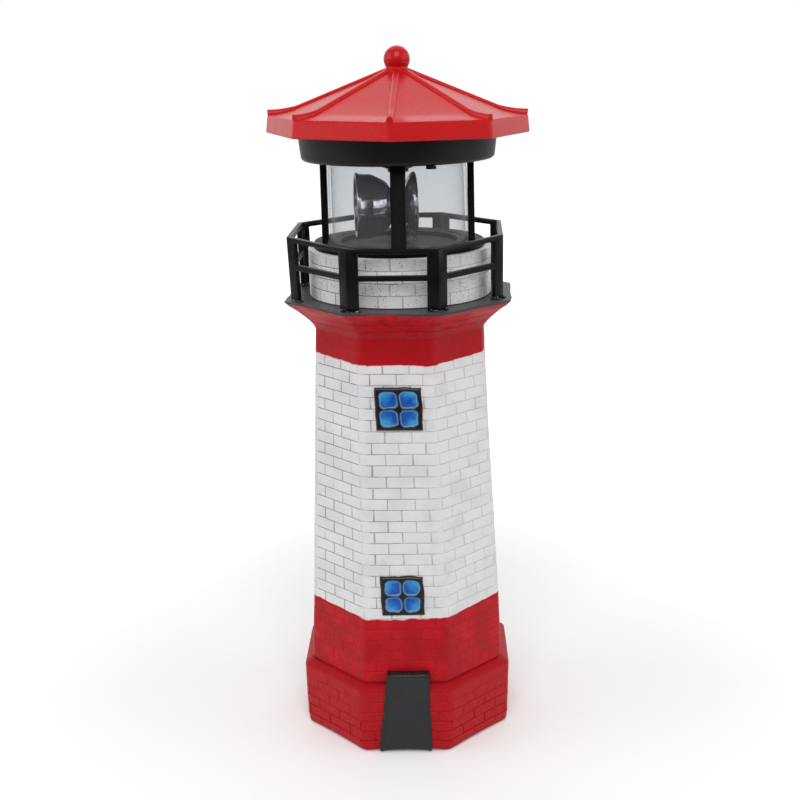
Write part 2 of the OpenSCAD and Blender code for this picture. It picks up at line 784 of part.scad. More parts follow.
// A spur gear's outline, with a tooth on +X
module gear_outline(teeth) {
    pitch_r = gear_m * teeth / 2;
    tip_r = pitch_r + tooth_out * gear_m;
    root_r = pitch_r - tooth_in * gear_m;
    half = 90 / teeth;
    flank = [[-tooth_root, root_r], [-tooth_tip, tip_r], [tooth_tip, tip_r], [tooth_root, root_r]];
    polygon([for (i = [0:teeth - 1], p = flank)
        let (a = 360 * i / teeth + p[0] * half) [p[1] * cos(a), p[1] * sin(a)]]);
}

module spur_gear(teeth, h, turn) {
    rotate([0, 0, turn]) linear_extrude(height = h) gear_outline(teeth);
}

module at_pillars() {
    for (p = pillars) translate([p[0] + p[2] * cos(p[1]), p[2] * sin(p[1]), 0]) children();
}

module gearbox_outline(margin) {
    wheel_r = gear_m * (wheel_teeth / 2 + 1);
    translate([idler_x, idler_y]) circle(r = wheel_r + margin);
    circle(r = gear_tip_r + margin);
    translate([motor_x, 0]) circle(r = motor_r + margin);
    for (p = pillars) translate([p[0], 0]) rotate([0, 0, p[1]])
        translate([0, -pillar_r]) square([p[2], 2 * pillar_r]);
    at_pillars() circle(r = pillar_r);
}

module gearbox_base() {
    color(off_white) difference() {
        union() {
            translate([0, 0, floor_z]) linear_extrude(height = gear_plate_t) gearbox_outline(1.2);
            at_pillars() translate([0, 0, floor_z]) cylinder(r = pillar_r, h = lid_z - floor_z);
            translate([motor_x, 0, 0])
                ring(motor_r + motor_ring_t, motor_r + EASE, motor_seat_z - OVER, OVER + motor_ring_h);
            translate([0, 0, floor_z]) cylinder(r = boss_r, h = bush_top_z - floor_z - AIR);
            translate([idler_x, idler_y, floor_z])
                cylinder(r = 2.6 * idler_pin_r, h = low_gear_z - AIR - floor_z);
        }
        translate([0, 0, floor_z - OVER]) cylinder(r = bush_r, h = bush_top_z - floor_z + OVER);
        translate([idler_x, idler_y, floor_z - OVER])
            cylinder(r = idler_pin_r, h = low_gear_z - floor_z + OVER);
        at_pillars() translate([0, 0, lid_z - small_screw_len])
            cylinder(r = small_screw_r, h = small_screw_len + OVER);
    }
}

module gearbox_lid() {
    color(off_white) difference() {
        translate([0, 0, lid_z]) linear_extrude(height = gear_plate_t) gearbox_outline(0.6);
        translate([0, 0, lid_z - OVER]) cylinder(r = led_stem_r, h = gear_plate_t + 2 * OVER);
        translate([idler_x, idler_y, lid_z - OVER])
            cylinder(r = idler_pin_r, h = gear_plate_t + 2 * OVER);
        at_pillars() translate([0, 0, lid_z - OVER])
            cylinder(r = small_screw_r + EASE, h = gear_plate_t + 2 * OVER);
    }
}

module gearbox_screws() {
    shank = small_screw_len - EASE + gear_plate_t;
    color(silver) at_pillars() {
        translate([0, 0, lid_top_z - shank]) cylinder(r = small_screw_r, h = shank);
        translate([0, 0, lid_top_z]) cylinder(r = small_head_r, h = small_head_t);
    }
}

module motor_can() {
    color(silver) translate([motor_x, 0, motor_seat_z]) difference() {
        cylinder(r = motor_r, h = motor_h);
        translate([0, 0, motor_h - motor_bore])
            cylinder(r = motor_shaft_r + run_gap, h = motor_bore + OVER);
    }
}

module motor_pinion() {
    shaft_low = motor_top_z - motor_bore + AIR;
    color(brass) translate([motor_x, 0, 0]) {
        translate([0, 0, shaft_low]) cylinder(r = motor_shaft_r, h = wheel_z - shaft_low);
        translate([0, 0, wheel_z - AIR]) spur_gear(motor_teeth, gear_face + AIR, motor_mesh_turn);
    }
}

module idler_gear() {
    color(gear_ivory) translate([idler_x, idler_y, 0]) difference() {
        union() {
            translate([0, 0, wheel_z]) spur_gear(wheel_teeth, gear_face, idler_to_motor);
            translate([0, 0, low_gear_z])
                spur_gear(idler_teeth, wheel_z - low_gear_z, pinion_turn);
        }
        translate([0, 0, low_gear_z - OVER])
            cylinder(r = idler_pin_r + run_gap, h = lid_z - low_gear_z + OVER);
    }
}

module idler_pin() {
    color(silver) translate([idler_x, idler_y, floor_z])
        cylinder(r = idler_pin_r, h = lid_top_z - floor_z);
}

module spindle_bush() {
    color(brass) ring(bush_r, spindle_r + run_gap, bush_low_z, bush_top_z - bush_low_z);
}

module spindle_gear() {
    color(gear_ivory) difference() {
        translate([0, 0, low_gear_z]) spur_gear(spindle_teeth, gear_face, idler_angle);
        translate([0, 0, low_gear_z - OVER]) cylinder(r = spindle_r, h = gear_face + 2 * OVER);
    }
}

/* ---------- lamp ---------- */

// Lays its children along the lamp: Z out of the deep reflector's mouth, at the lamp's centre
module along_lamp() {
    translate([0, 0, lamp_z]) rotate([0, 0, lamp_turn]) rotate([0, -90, 0]) children();
}

module lamp_spindle() {
    hub_in_r = hub_r - hub_wall;
    stub_r = pivot_r + run_gap + stub_wall;
    color(black) difference() {
        union() {
            along_lamp() translate([0, 0, -hub_shallow_len])
                cylinder(r = hub_r, h = hub_shallow_len + hub_deep_len);
            translate([0, 0, lamp_z]) cylinder(r = spindle_r, h = spindle_top_z - lamp_z);
            translate([0, 0, shoulder_z]) cylinder(r = shoulder_r, h = shoulder_t);
            translate([0, 0, stub_z]) cylinder(r = stub_r, h = lamp_z - stub_z);
        }
        along_lamp() translate([0, 0, -hub_shallow_len - OVER])
            cylinder(r = hub_in_r, h = hub_shallow_len + hub_deep_len + 2 * OVER);
        translate([0, 0, lamp_z]) cylinder(r = spindle_r - spindle_wall, h = spindle_top_z);
        translate([0, 0, stub_z - OVER])
            cylinder(r = pivot_r + run_gap, h = pivot_in + OVER + AIR);
    }
}

// A dish's wall as a ring of points: out along the back, over the lip, and home along the
// mirror, which is the back moved in and forward by the wall
function dish(neck_z, mouth_z, mouth_r, bulge, sleeve, lip, steps = 8) =
    let (back = [for (i = [0:steps])
        [hub_r + (mouth_r - hub_r) * pow(i / steps, bulge),
            neck_z + (mouth_z - sleeve - neck_z) * i / steps]])
    concat(back,
        [[mouth_r, mouth_z - lip_t], [mouth_r + lip, mouth_z - lip_t], [mouth_r + lip, mouth_z],
            [mouth_r - reflector_wall, mouth_z]],
        [for (i = [steps:-1:0]) back[i] + [-reflector_wall, reflector_wall]],
        [[hub_r - hub_wall, neck_z + reflector_wall], [hub_r - hub_wall, neck_z]]);

module deep_reflector() {
    color(silver) along_lamp() rotate_extrude() polygon(
        dish(hub_deep_len, deep_reach, deep_mouth_r, deep_bulge, deep_sleeve, deep_lip));
}

module shallow_reflector() {
    color(silver) along_lamp() mirror([0, 0, 1]) rotate_extrude() polygon(
        dish(hub_shallow_len, shallow_reach, shallow_mouth_r, shallow_bulge, shallow_sleeve,
            shallow_lip));
}

module pivot_pin() {
    low_z = well_z - well_floor;
    color(silver) translate([0, 0, low_z]) cylinder(r = pivot_r, h = pivot_top_z - low_z);
}

module led() {
    body_h = led_h - led_r;
    color([0.95, 0.95, 0.80]) translate([0, 0, led_z]) {
        translate([0, 0, led_r]) cylinder(r = led_r, h = body_h);
        translate([0, 0, led_r]) sphere(r = led_r);
    }
}

module led_stem() {
    low_z = led_z + led_h;
    color(off_white) {
        translate([0, 0, low_z]) cylinder(r = led_stem_r, h = lid_top_z - low_z);
        translate([0, 0, lid_top_z]) cylinder(r = stem_head_r, h = stem_head_t);
    }
}

/* ---------- power ---------- */

module battery_cell() {
    color([0.25, 0.45, 0.30]) translate([-cell_len / 2, -cell_front, cell_z]) rotate([0, 90, 0]) {
        cylinder(r = cell_r, h = cell_len - cell_nub);
        translate([0, 0, cell_len - cell_nub]) cylinder(r = cell_nub_r, h = cell_nub);
    }
}

module battery_holder() {
    side_y = cell_r + EASE;
    wall_h = cell_r;
    color(black) translate([0, -cell_front, floor_z]) difference() {
        translate([-holder_end, -side_y - holder_wall, 0])
            cube([2 * holder_end, 2 * (side_y + holder_wall), wall_h + holder_wall]);
        translate([-cell_end, -side_y, holder_wall])
            cube([2 * cell_end, 2 * side_y, wall_h + OVER]);
    }
}

module battery_contacts() {
    color(brass) translate([0, -cell_front, 0]) for (side = [-1, 1]) {
        plate_x = side > 0 ? cell_end - contact_t : -cell_end;
        translate([plate_x, -contact_w / 2, floor_z + holder_wall])
            cube([contact_t, contact_w, contact_h]);
    }
}

module circuit_board() {
    top_z = board_z + board_t;
    color([0.10, 0.35, 0.18]) translate([0, board_back, 0]) {
        translate([-board_len / 2, -board_w / 2, board_z]) cube([board_len, board_w, board_t]);
        translate([-chip_len, board_w / 10, top_z]) cylinder(r = capacitor_r, h = capacitor_h);
        translate([board_w / 10, -chip_w / 2, top_z]) cube([chip_len, chip_w, chip_h]);
    }
}

/* ---------- leads ---------- */

// Points of each lead over the collar's floor, chosen by hand: straight out of one joint and
// straight into the other
lead_routes = [
    // panel on the right to board
    [[9.5, 20.3, 21.8], [9.3, 19.9, 20.6], [9.3, 20.6, 14.7], [8.5, 21.3, 9.1],
     [8.2, 21.4, 6.7], [8.2, 21.4, 4.2]],
    // panel on the left to board
    [[-7.7, 21.05, 21.8], [-7.5, 20.6, 20.6], [-7.5, 21.6, 14.7], [-8.6, 22, 9.1],
     [-9, 22, 6.7], [-9, 22, 4.2]],
    // battery to board, round the left
    [[-22.95, -20.5, 9.3], [-22.95, -20.5, 11.9], [-25, -13.5, 12.7], [-30, -4, 10.7],
     [-31, 5, 10.2], [-28, 14, 9.2], [-21, 18.5, 8.5], [-14.4, 21, 8.3],
     [-13, 21.5, 6.7], [-13, 21.5, 4.2]],
    // motor to board
    [[-24.5, -3, 11.3], [-24.5, -3, 12.9], [-28.6, 1, 13.7], [-29.6, 9, 13.1], [-26, 17, 11.9],
     [-19.5, 23, 10.3], [-13.6, 26.6, 8.3], [-12.8, 26.8, 6.7], [-12.8, 26.8, 4.2]],
    // battery to switch
    [[22.95, -20.5, 9.3], [22.95, -20.5, 11.9], [21, -24.2, 12.7], [17, -28.4, 9.7],
     [13.5, -31.1, 6.3], [13.5, -31.1, 3.6]],
    // switch to board, round the right
    [[9.6, -32.5, 3.6], [9.6, -32.5, 6.3], [13.5, -29.6, 11.7], [19, -23, 14.7],
     [23, -16, 14.1], [26, -9, 11.7], [27.5, 0, 9.7], [24, 12, 9.1], [17, 22, 9.3],
     [13, 26, 7.1], [13, 26, 4.2]],
    // lamp stem to board
    [[0, 0, 17.4], [0, 0, 19.7], [0, 4.6, 22.1], [-1, 10, 21.2], [-1.2, 15.6, 17.7],
     [-1.3, 19.4, 12.7], [-1.4, 21.6, 7.1], [-1.4, 21.6, 4.2]],
];

function spline_at(p, t) =
    let (n = len(p) - 1, i = min(floor(t), n - 1), f = t - i,
        a = i > 0 ? p[i - 1] : 2 * p[i] - p[i + 1], b = p[i], c = p[i + 1],
        d = i + 2 <= n ? p[i + 2] : 2 * c - b)
    b + 0.5 * f * (c - a + f * (2 * a - 5 * b + 4 * c - d + f * (3 * (b - c) + d - a)));
function unit(v) = v / norm(v);

module lead(route, steps = 3) {
    faces_round = 8;
    count = steps * (len(route) - 1);
    path = [for (i = [0:count]) spline_at(route, i / steps)];
    rings = [for (i = [0:count])
        let (along = i == 0 ? unit(route[1] - route[0])
                : i == count ? unit(route[len(route) - 1] - route[len(route) - 2])
                : unit(path[i + 1] - path[i - 1]),
            side = unit(cross(along, [0.31, 0.95, 0.1])), up = cross(side, along))
        for (k = [0:faces_round - 1])
            let (a = 360 * k / faces_round) path[i] + lead_r * (cos(a) * side + sin(a) * up)];
    walls = [for (i = [0:count - 1], k = [0:faces_round - 1])
        let (n = (k + 1) % faces_round, at = i * faces_round, up = at + faces_round)
        each [[at + k, up + n, at + n], [at + k, up + k, up + n]]];
    start = [for (k = [1:faces_round - 2]) [0, k, k + 1]];
    end = [for (k = [1:faces_round - 2])
        let (at = count * faces_round) [at, at + k + 1, at + k]];
    polyhedron(rings, concat(walls, start, end));
}

module lead_wires() {
    color(lead_red) translate([0, 0, floor_z]) for (route = lead_routes) lead(route);
}

/* ---------- switch ---------- */

module switch_case() {
    color(silver) difference() {
        at_polar(switch_dist - switch_w / 2, switch_angle, floor_z)
            translate([0, -switch_len / 2, 0]) cube([switch_w, switch_len, switch_h]);
        switch_slot(floor_z - OVER, OVER + stem_in_case + AIR);
    }
}

module switch_knob() {
    rest = switch_travel / 2;
    color(black) {
        at_polar(switch_dist - knob_w / 2, switch_angle, collar_z - AIR - knob_t)
            translate([0, rest - knob_len / 2, 0]) cube([knob_w, knob_len, knob_t]);
        at_polar(switch_dist - knob_stem / 2, switch_angle, collar_z - AIR - knob_t / 2)
            translate([0, rest - knob_stem / 2, 0])
                cube([knob_stem, knob_stem, knob_t / 2 + AIR + collar_floor + stem_in_case]);
    }
}

tower_casting();
gallery_rail();
lantern_cage();
glazing_tube();
collar_housing();
roof_shell();
solar_panels();
housing_screws();
gearbox_base();
gearbox_lid();
gearbox_screws();
motor_can();
motor_pinion();
idler_gear();
idler_pin();
spindle_bush();
spindle_gear();
lamp_spindle();
deep_reflector();
shallow_reflector();
pivot_pin();
led();
led_stem();
battery_cell();
battery_holder();
battery_contacts();
circuit_board();
lead_wires();
switch_case();
switch_knob();
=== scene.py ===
"""Looks of a garden lighthouse ornament: its cast tower, gallery rail and solar lantern head.

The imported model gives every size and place. Lengths are millimetres in the dataclasses and
metres in the meshes, +Z is up, and -Y is the front with the door and the windows.
"""

import logging
import math
from collections.abc import Callable, Iterable, Sequence
from dataclasses import dataclass, field
from enum import Enum
from functools import partial
from typing import Any, Union

import bmesh
import bpy
from mathutils import Matrix, Vector, noise


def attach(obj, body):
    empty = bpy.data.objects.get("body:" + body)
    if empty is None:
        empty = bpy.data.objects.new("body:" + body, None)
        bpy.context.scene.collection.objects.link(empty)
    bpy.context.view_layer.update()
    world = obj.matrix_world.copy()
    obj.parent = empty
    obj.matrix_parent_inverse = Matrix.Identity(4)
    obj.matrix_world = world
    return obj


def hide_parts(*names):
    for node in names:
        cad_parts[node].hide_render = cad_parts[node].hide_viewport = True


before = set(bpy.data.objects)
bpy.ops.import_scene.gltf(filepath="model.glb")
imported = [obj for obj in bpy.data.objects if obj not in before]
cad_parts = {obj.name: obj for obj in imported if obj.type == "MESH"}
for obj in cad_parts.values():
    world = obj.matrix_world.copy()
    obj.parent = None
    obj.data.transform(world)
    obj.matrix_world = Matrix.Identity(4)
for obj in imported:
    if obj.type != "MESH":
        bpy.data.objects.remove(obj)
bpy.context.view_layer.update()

Colour = tuple[float, float, float, float]
Feed = Union["Wire", float, int, str, Sequence[float], Any]
Point = tuple[float, float, float]

MM = 0.001
SIDES = 8
HALF_SIDE = math.pi / SIDES
NOISE_SEED = 5

log = logging.getLogger("lighthouse")


def srgb(red: int, green: int, blue: int) -> Colour:
    """Turns a screen colour into the linear one that a shader takes.

    Args:
        red: Red from 0 to 255.
        green: Green from 0 to 255.
        blue: Blue from 0 to 255.

    Returns:
        The linear colour with full alpha.
    """

    def linear(level: int) -> float:
        share = level / 255
        return share / 12.92 if share <= 0.04045 else ((share + 0.055) / 1.055) ** 2.4

    return (linear(red), linear(green), linear(blue), 1.0)


def eased(value: float, low: float, high: float) -> float:
    """Rises smoothly from 0 at low to 1 at high.

    Args:
        value: The number to judge.
        low: Where the rise starts.
        high: Where the rise ends.

    Returns:
        A share from 0 to 1.
    """
    share = min(1.0, max(0.0, (value - low) / (high - low)))
    return share * share * (3 - 2 * share)


def dimmed(colour: Colour, share: float) -> Colour:
    """A darker colour: its red, green and blue times a share."""
    return tuple(part * share for part in colour[:3]) + (1.0,)


def placed(name: str, data: bpy.types.ID) -> bpy.types.Object:
    """Makes an object of a mesh, a light or a camera and puts it in the scene."""
    made = bpy.data.objects.new(name, data)
    bpy.context.scene.collection.objects.link(made)
    return made


def smoothed(mesh: bpy.types.Mesh, sharp: float) -> None:
    """Shades a mesh smooth, but for its edges above an angle in degrees."""
    mesh.shade_smooth()
    mesh.set_sharp_from_angle(angle=math.radians(sharp))


# ---------------------------------------------------------------- node trees


class Wire:
    """One output socket of a node tree, whose operators add Math nodes."""

    def __init__(self, nodes: "Nodes", socket: bpy.types.NodeSocket) -> None:
        """Keeps the tree's builder and the socket."""
        self.nodes = nodes
        self.socket = socket

    def _math(self, operation: str, *values: Feed) -> "Wire":
        """Adds one Math node over the values."""
        feeds = dict(enumerate(values))
        return self.nodes.get("ShaderNodeMath", {"operation": operation}, feeds)

    def __add__(self, other: Feed) -> "Wire":
        """Adds."""
        return self._math("ADD", self, other)

    def __sub__(self, other: Feed) -> "Wire":
        """Subtracts."""
        return self._math("SUBTRACT", self, other)

    def __rsub__(self, other: Feed) -> "Wire":
        """Subtracts this from a plain number."""
        return self._math("SUBTRACT", other, self)

    def __mul__(self, other: Feed) -> "Wire":
        """Multiplies."""
        return self._math("MULTIPLY", self, other)

    def __truediv__(self, other: Feed) -> "Wire":
        """Divides."""
        return self._math("DIVIDE", self, other)

    def __rtruediv__(self, other: Feed) -> "Wire":
        """Divides a plain number by this."""
        return self._math("DIVIDE", other, self)

    def __mod__(self, other: Feed) -> "Wire":
        """Remainder that stays positive."""
        return self._math("FLOORED_MODULO", self, other)

    def __abs__(self) -> "Wire":
        """Absolute value."""
        return self._math("ABSOLUTE", self)

    def floor(self) -> "Wire":
        """Largest whole number that isn't above this."""
        return self._math("FLOOR", self)

    def sign(self) -> "Wire":
        """Minus one, nought or one."""
        return self._math("SIGN", self)

    def sine(self) -> "Wire":
        """Sine of an angle in radians."""
        return self._math("SINE", self)

    def cosine(self) -> "Wire":
        """Cosine of an angle in radians."""
        return self._math("COSINE", self)

    def above(self, other: Feed) -> "Wire":
        """One where this is greater than the other."""
        return self._math("GREATER_THAN", self, other)

    def least(self, other: Feed) -> "Wire":
        """The smaller of the two."""
        return self._math("MINIMUM", self, other)

    def most(self, other: Feed) -> "Wire":
        """The larger of the two."""
        return self._math("MAXIMUM", self, other)

    def rise(self, low: float, high: float) -> "Wire":
        """Smooth step from 0 at low to 1 at high.

        Args:
            low: Where the step starts.
            high: Where the step ends.

        Returns:
            A share from 0 to 1.
        """
        return self.nodes.get(
            "ShaderNodeMapRange",
            {"interpolation_type": "SMOOTHSTEP"},
            {"Value": self, "From Min": low, "From Max": high},
        )

    def between(self, low: "Wire", high: "Wire") -> "Wire":
        """Straight mix from low at 0 to high at 1."""
        return low + self * (high - low)


class Nodes:
    """A node tree that is filled by Python expressions."""

    def __init__(self, tree: bpy.types.NodeTree) -> None:
        """Keeps the tree."""
        self.tree = tree

    def feed(self, socket: bpy.types.NodeSocket, value: Feed) -> None:
        """Links a wire to a socket, or sets the socket's value.

        Args:
            socket: The input socket.
            value: A wire, or a plain value.
        """
        if isinstance(value, Wire):
            self.tree.links.new(value.socket, socket)
        else:
            socket.default_value = value

    @staticmethod
    def pick(sockets: Iterable[bpy.types.NodeSocket], key: int | str) -> bpy.types.NodeSocket:
        """Finds a live socket by its place or its name.

        Args:
            sockets: A node's inputs or outputs.
            key: The place among the sockets that are in use, or a name.

        Returns:
            The socket.
        """
        live = [s for s in sockets if s.enabled]
        return live[key] if isinstance(key, int) else next(s for s in live if s.name == key)

    def add(
        self,
        kind: str,
        settings: dict[str, Any] | None = None,
        feeds: dict[int | str, Feed] | None = None,
    ) -> bpy.types.Node:
        """Adds any node.

        Args:
            kind: The node's type.
            settings: Its properties, set first; "stops" fills a colour ramp.
            feeds: Values or wires for its sockets, by name or place.

        Returns:
            The node.
        """
        made = self.tree.nodes.new(kind)
        for key, value in (settings or {}).items():
            if key == "stops":
                ramp = made.color_ramp.elements
                while len(ramp) < len(value):
                    ramp.new(1.0)
                for element, (place, colour) in zip(ramp, value):
                    element.position, element.color = place, colour
            else:
                setattr(made, key, value)
        for key, value in (feeds or {}).items():
            self.feed(self.pick(made.inputs, key), value)
        return made

    def get(
        self,
        kind: str,
        settings: dict[str, Any] | None = None,
        feeds: dict[int | str, Feed] | None = None,
        output: int | str = 0,
    ) -> Wire:
        """Adds a node and takes one of its outputs.

        Args:
            kind: The node's type.
            settings: Its properties.
            feeds: Values or wires for its sockets.
            output: Name or place of the output.

        Returns:
            The output as a wire.
        """
        return Wire(self, self.pick(self.add(kind, settings, feeds).outputs, output))

    def split(self, vector: Wire) -> tuple[Wire, Wire, Wire]:
        """Takes a vector apart into its three numbers."""
        parts = self.add("ShaderNodeSeparateXYZ", None, {0: vector})
        return tuple(Wire(self, s) for s in parts.outputs)

    def join(self, x: Feed, y: Feed, z: Feed) -> Wire:
        """Makes a vector of three numbers."""
        return self.get("ShaderNodeCombineXYZ", None, {0: x, 1: y, 2: z})


class Surface(Nodes):
    """One material over the piece's own coordinates, in millimetres."""

    def __init__(self, name: str) -> None:
        """Makes an empty material.

        Args:
            name: What the finish is called.
        """
        self.material = bpy.data.materials.new(name)
        self.material.use_nodes = True
        super().__init__(self.material.node_tree)
        self.tree.nodes.clear()
        place = self.get("ShaderNodeTexCoord", None, None, "Object")
        self.place = self.get(
            "ShaderNodeVectorMath", {"operation": "SCALE"}, {0: place, "Scale": 1 / MM}
        )

    def grain(self, size: float, detail: float = 2.0, along: Point = (1, 1, 1)) -> Wire:
        """Soft random spots over the piece.

        Args:
            size: Rough size of a spot.
            detail: How many finer layers it has.
            along: How often the spots come in each direction, against the size.

        Returns:
            A number about 0.5 on average.
        """
        stretched = self.get(
            "ShaderNodeVectorMath", {"operation": "MULTIPLY"}, {0: self.place, 1: along}
        )
        return self.get(
            "ShaderNodeTexNoise", None, {"Vector": stretched, "Scale": 1 / size, "Detail": detail}
        )

    def mix(self, share: Feed, low: Feed, high: Feed) -> Wire:
        """Mixes two colours.

        Args:
            share: 0 for the first colour, 1 for the second.
            low: First colour.
            high: Second colour.

        Returns:
            The mixed colour.
        """
        return self.get("ShaderNodeMix", {"data_type": "RGBA"}, {0: share, 1: low, 2: high})

    def bump(self, height: Wire, depth: float) -> Wire:
        """Turns a height into a normal.

        Args:
            height: Height from 0 to 1.
            depth: What a height of 1 stands for, in millimetres.

        Returns:
            The normal.
        """
        return self.get("ShaderNodeBump", None, {"Distance": depth * MM, "Height": height})

    def own(self, attribute: str) -> Wire:
        """Reads a number that the piece's mesh carries."""
        return self.get("ShaderNodeAttribute", {"attribute_name": attribute}, None, "Fac")

    def shade(self, **feeds: Feed) -> Wire:
        """Adds the shader of a solid surface.

        Args:
            feeds: Values for its sockets, with _ for a space in a name.

        Returns:
            The shader.
        """
        named = {key.replace("_", " "): value for key, value in feeds.items()}
        return self.get("ShaderNodeBsdfPrincipled", None, named)

    def done(self, shader: Wire) -> bpy.types.Material:
        """Ends the material in a shader.

        Args:
            shader: The finished shader.

        Returns:
            The material.
        """
        self.add("ShaderNodeOutputMaterial", None, {"Surface": shader})
        return self.material

    def solid(self, **feeds: Feed) -> bpy.types.Material:
        """Ends the material in the shader of a solid surface.

        Args:
            feeds: Values for its sockets, with _ for a space in a name.

        Returns:
            The material.
        """
        return self.done(self.shade(**feeds))


class Pattern(Nodes):
    """A Geometry Nodes tree with named inputs, run once and baked to a plain mesh."""

    def __init__(self, name: str, inputs: dict[str, tuple[str, Any]]) -> None:
        """Makes the tree and its inputs.

        Args:
            name: What the pattern makes.
            inputs: For each named input, its kind of socket and its value.
        """
        super().__init__(bpy.data.node_groups.new(name, "GeometryNodeTree"))
        self.values: dict[str, Any] = {}
        face = self.tree.interface
        face.new_socket("Geometry", in_out="INPUT", socket_type="NodeSocketGeometry")
        for label, (kind, value) in inputs.items():
            item = face.new_socket(label, in_out="INPUT", socket_type=f"NodeSocket{kind}")
            self.values[item.identifier] = value
        face.new_socket("Geometry", in_out="OUTPUT", socket_type="NodeSocketGeometry")
        self.group = self.tree.nodes.new("NodeGroupInput")

    def given(self, label: str) -> Wire:
        """The wire of a named input."""
        return Wire(self, self.group.outputs[label])

    def chance(self, low: float, high: float, salt: int) -> Wire:
        """A random number for each point, from the pattern's own seed.

        Args:
            low: Lowest number.
            high: Highest number.
            salt: Sets this number apart from the pattern's others.

        Returns:
            The number.
        """
        return self.get(
            "FunctionNodeRandomValue",
            {"data_type": "FLOAT"},
            {"Min": low, "Max": high, "Seed": self.given("Seed") + salt},
        )

    def shaken(self, shape: Wire, size: float, reach: Feed) -> Wire:
        """Moves a mesh's points a little, as hand work does.

        Args:
            shape: The mesh.
            size: Rough size of a wave, in metres.
            reach: How far a point may go, in metres.

        Returns:
            The moved mesh.
        """
        waves = self.get("ShaderNodeTexNoise", None, {"Scale": 1 / size, "Detail": 1.0}, "Color")
        middle = self.get(
            "ShaderNodeVectorMath", {"operation": "SUBTRACT"}, {0: waves, 1: (0.5, 0.5, 0.5)}
        )
        offset = self.get(
            "ShaderNodeVectorMath", {"operation": "SCALE"}, {0: middle, "Scale": reach * 2.0}
        )
        return self.get("GeometryNodeSetPosition", None, {"Geometry": shape, "Offset": offset})

    def baked(self, name: str, shape: Wire, base: bpy.types.Mesh | None = None) -> bpy.types.Object:
        """Ends the tree, runs it and leaves a plain mesh.

        Args:
            name: Name of the piece.
            shape: The tree's last geometry, with its instances.
            base: Mesh that the tree starts from, if it needs one.

        Returns:
            The piece, with no modifier left.
        """
        real = self.get("GeometryNodeRealizeInstances", None, {"Geometry": shape})
        dressed = self.get(
            "GeometryNodeSetMaterial", None, {"Geometry": real, "Material": self.given("Material")}
        )
        self.add("NodeGroupOutput", None, {"Geometry": dressed})
        piece = placed(name, base or bpy.data.meshes.new(name))
        modifier = piece.modifiers.new(name, "NODES")
        modifier.node_group = self.tree
        for identifier, value in self.values.items():
            modifier[identifier] = value
        return bake(piece)


# ---------------------------------------------------------------- meshes


def bake(piece: bpy.types.Object) -> bpy.types.Object:
    """Replaces a piece's mesh and modifiers by the mesh that they give.

    Args:
        piece: An object with modifiers.

    Returns:
        The same object, with a plain mesh.
    """
    graph = bpy.context.evaluated_depsgraph_get()
    mesh = bpy.data.meshes.new_from_object(
        piece.evaluated_get(graph), preserve_all_data_layers=True, depsgraph=graph
    )
    piece.modifiers.clear()
    piece.data = mesh
    mesh.name = piece.name
    return piece


@dataclass
class Shape:
    """Points in millimetres and the faces over them, gathered before a piece is made."""

    points: list[Point] = field(default_factory=list)
    faces: list[tuple[int, ...]] = field(default_factory=list)

    def loft(self, rings: Sequence[Sequence[Point]], looped: bool = False) -> "Shape":
        """Skins rings of equal length that run counter-clockwise round the outside.

        Args:
            rings: The rings, from the first to the last.
            looped: Whether the last ring is joined to the first; else both ends are capped.

        Returns:
            The shape itself.
        """
        start, count = len(self.points), len(rings[0])
        for ring in rings:
            self.points.extend(ring)
        pairs = len(rings) if looped else len(rings) - 1
        for row in range(pairs):
            low = start + row * count
            high = start + ((row + 1) % len(rings)) * count
            for i in range(count):
                j = (i + 1) % count
                self.faces.append((low + i, low + j, high + j, high + i))
        if not looped:
            last = start + (len(rings) - 1) * count
            self.faces.append(tuple(start + count - 1 - i for i in range(count)))
            self.faces.append(tuple(last + i for i in range(count)))
        return self

    def spin(
        self,
        profile: Sequence[tuple[float, float]],
        steps: int = 96,
        place: Matrix | None = None,
        looped: bool = False,
    ) -> "Shape":
        """Turns a profile round an axis.

        Args:
            profile: Pairs of radius and height, going up the outside.
            steps: Points round the turn.
            place: Where the axis goes; without it the turn is round Z.
            looped: Whether the profile closes on itself.

        Returns:
            The shape itself.
        """
        turned = [
            [
                tuple((place or Matrix()) @ Vector((r * math.cos(a), r * math.sin(a), z)))
                for a in (math.tau * i / steps for i in range(steps))
            ]
            for r, z in profile
        ]
        return self.loft(turned, looped)

    def piece(
        self, name: str, material: bpy.types.Material, sharp: float = 40.0
    ) -> bpy.types.Object:
        """Makes the object: doubles merged, faces outwards, smooth up to a sharp angle.

        Args:
            name: Name of the piece.
            material: Its finish.
            sharp: Angle in degrees from which an edge shows as an edge.

        Returns:
            The object.
        """
        mesh = bpy.data.meshes.new(name)
        mesh.from_pydata([[c * MM for c in p] for p in self.points], [], self.faces)
        form = bmesh.new()
        form.from_mesh(mesh)
        bmesh.ops.remove_doubles(form, verts=form.verts, dist=1e-7)
        bmesh.ops.recalc_face_normals(form, faces=form.faces)
        form.to_mesh(mesh)
        form.free()
        smoothed(mesh, sharp)
        mesh.materials.append(material)
        return placed(name, mesh)


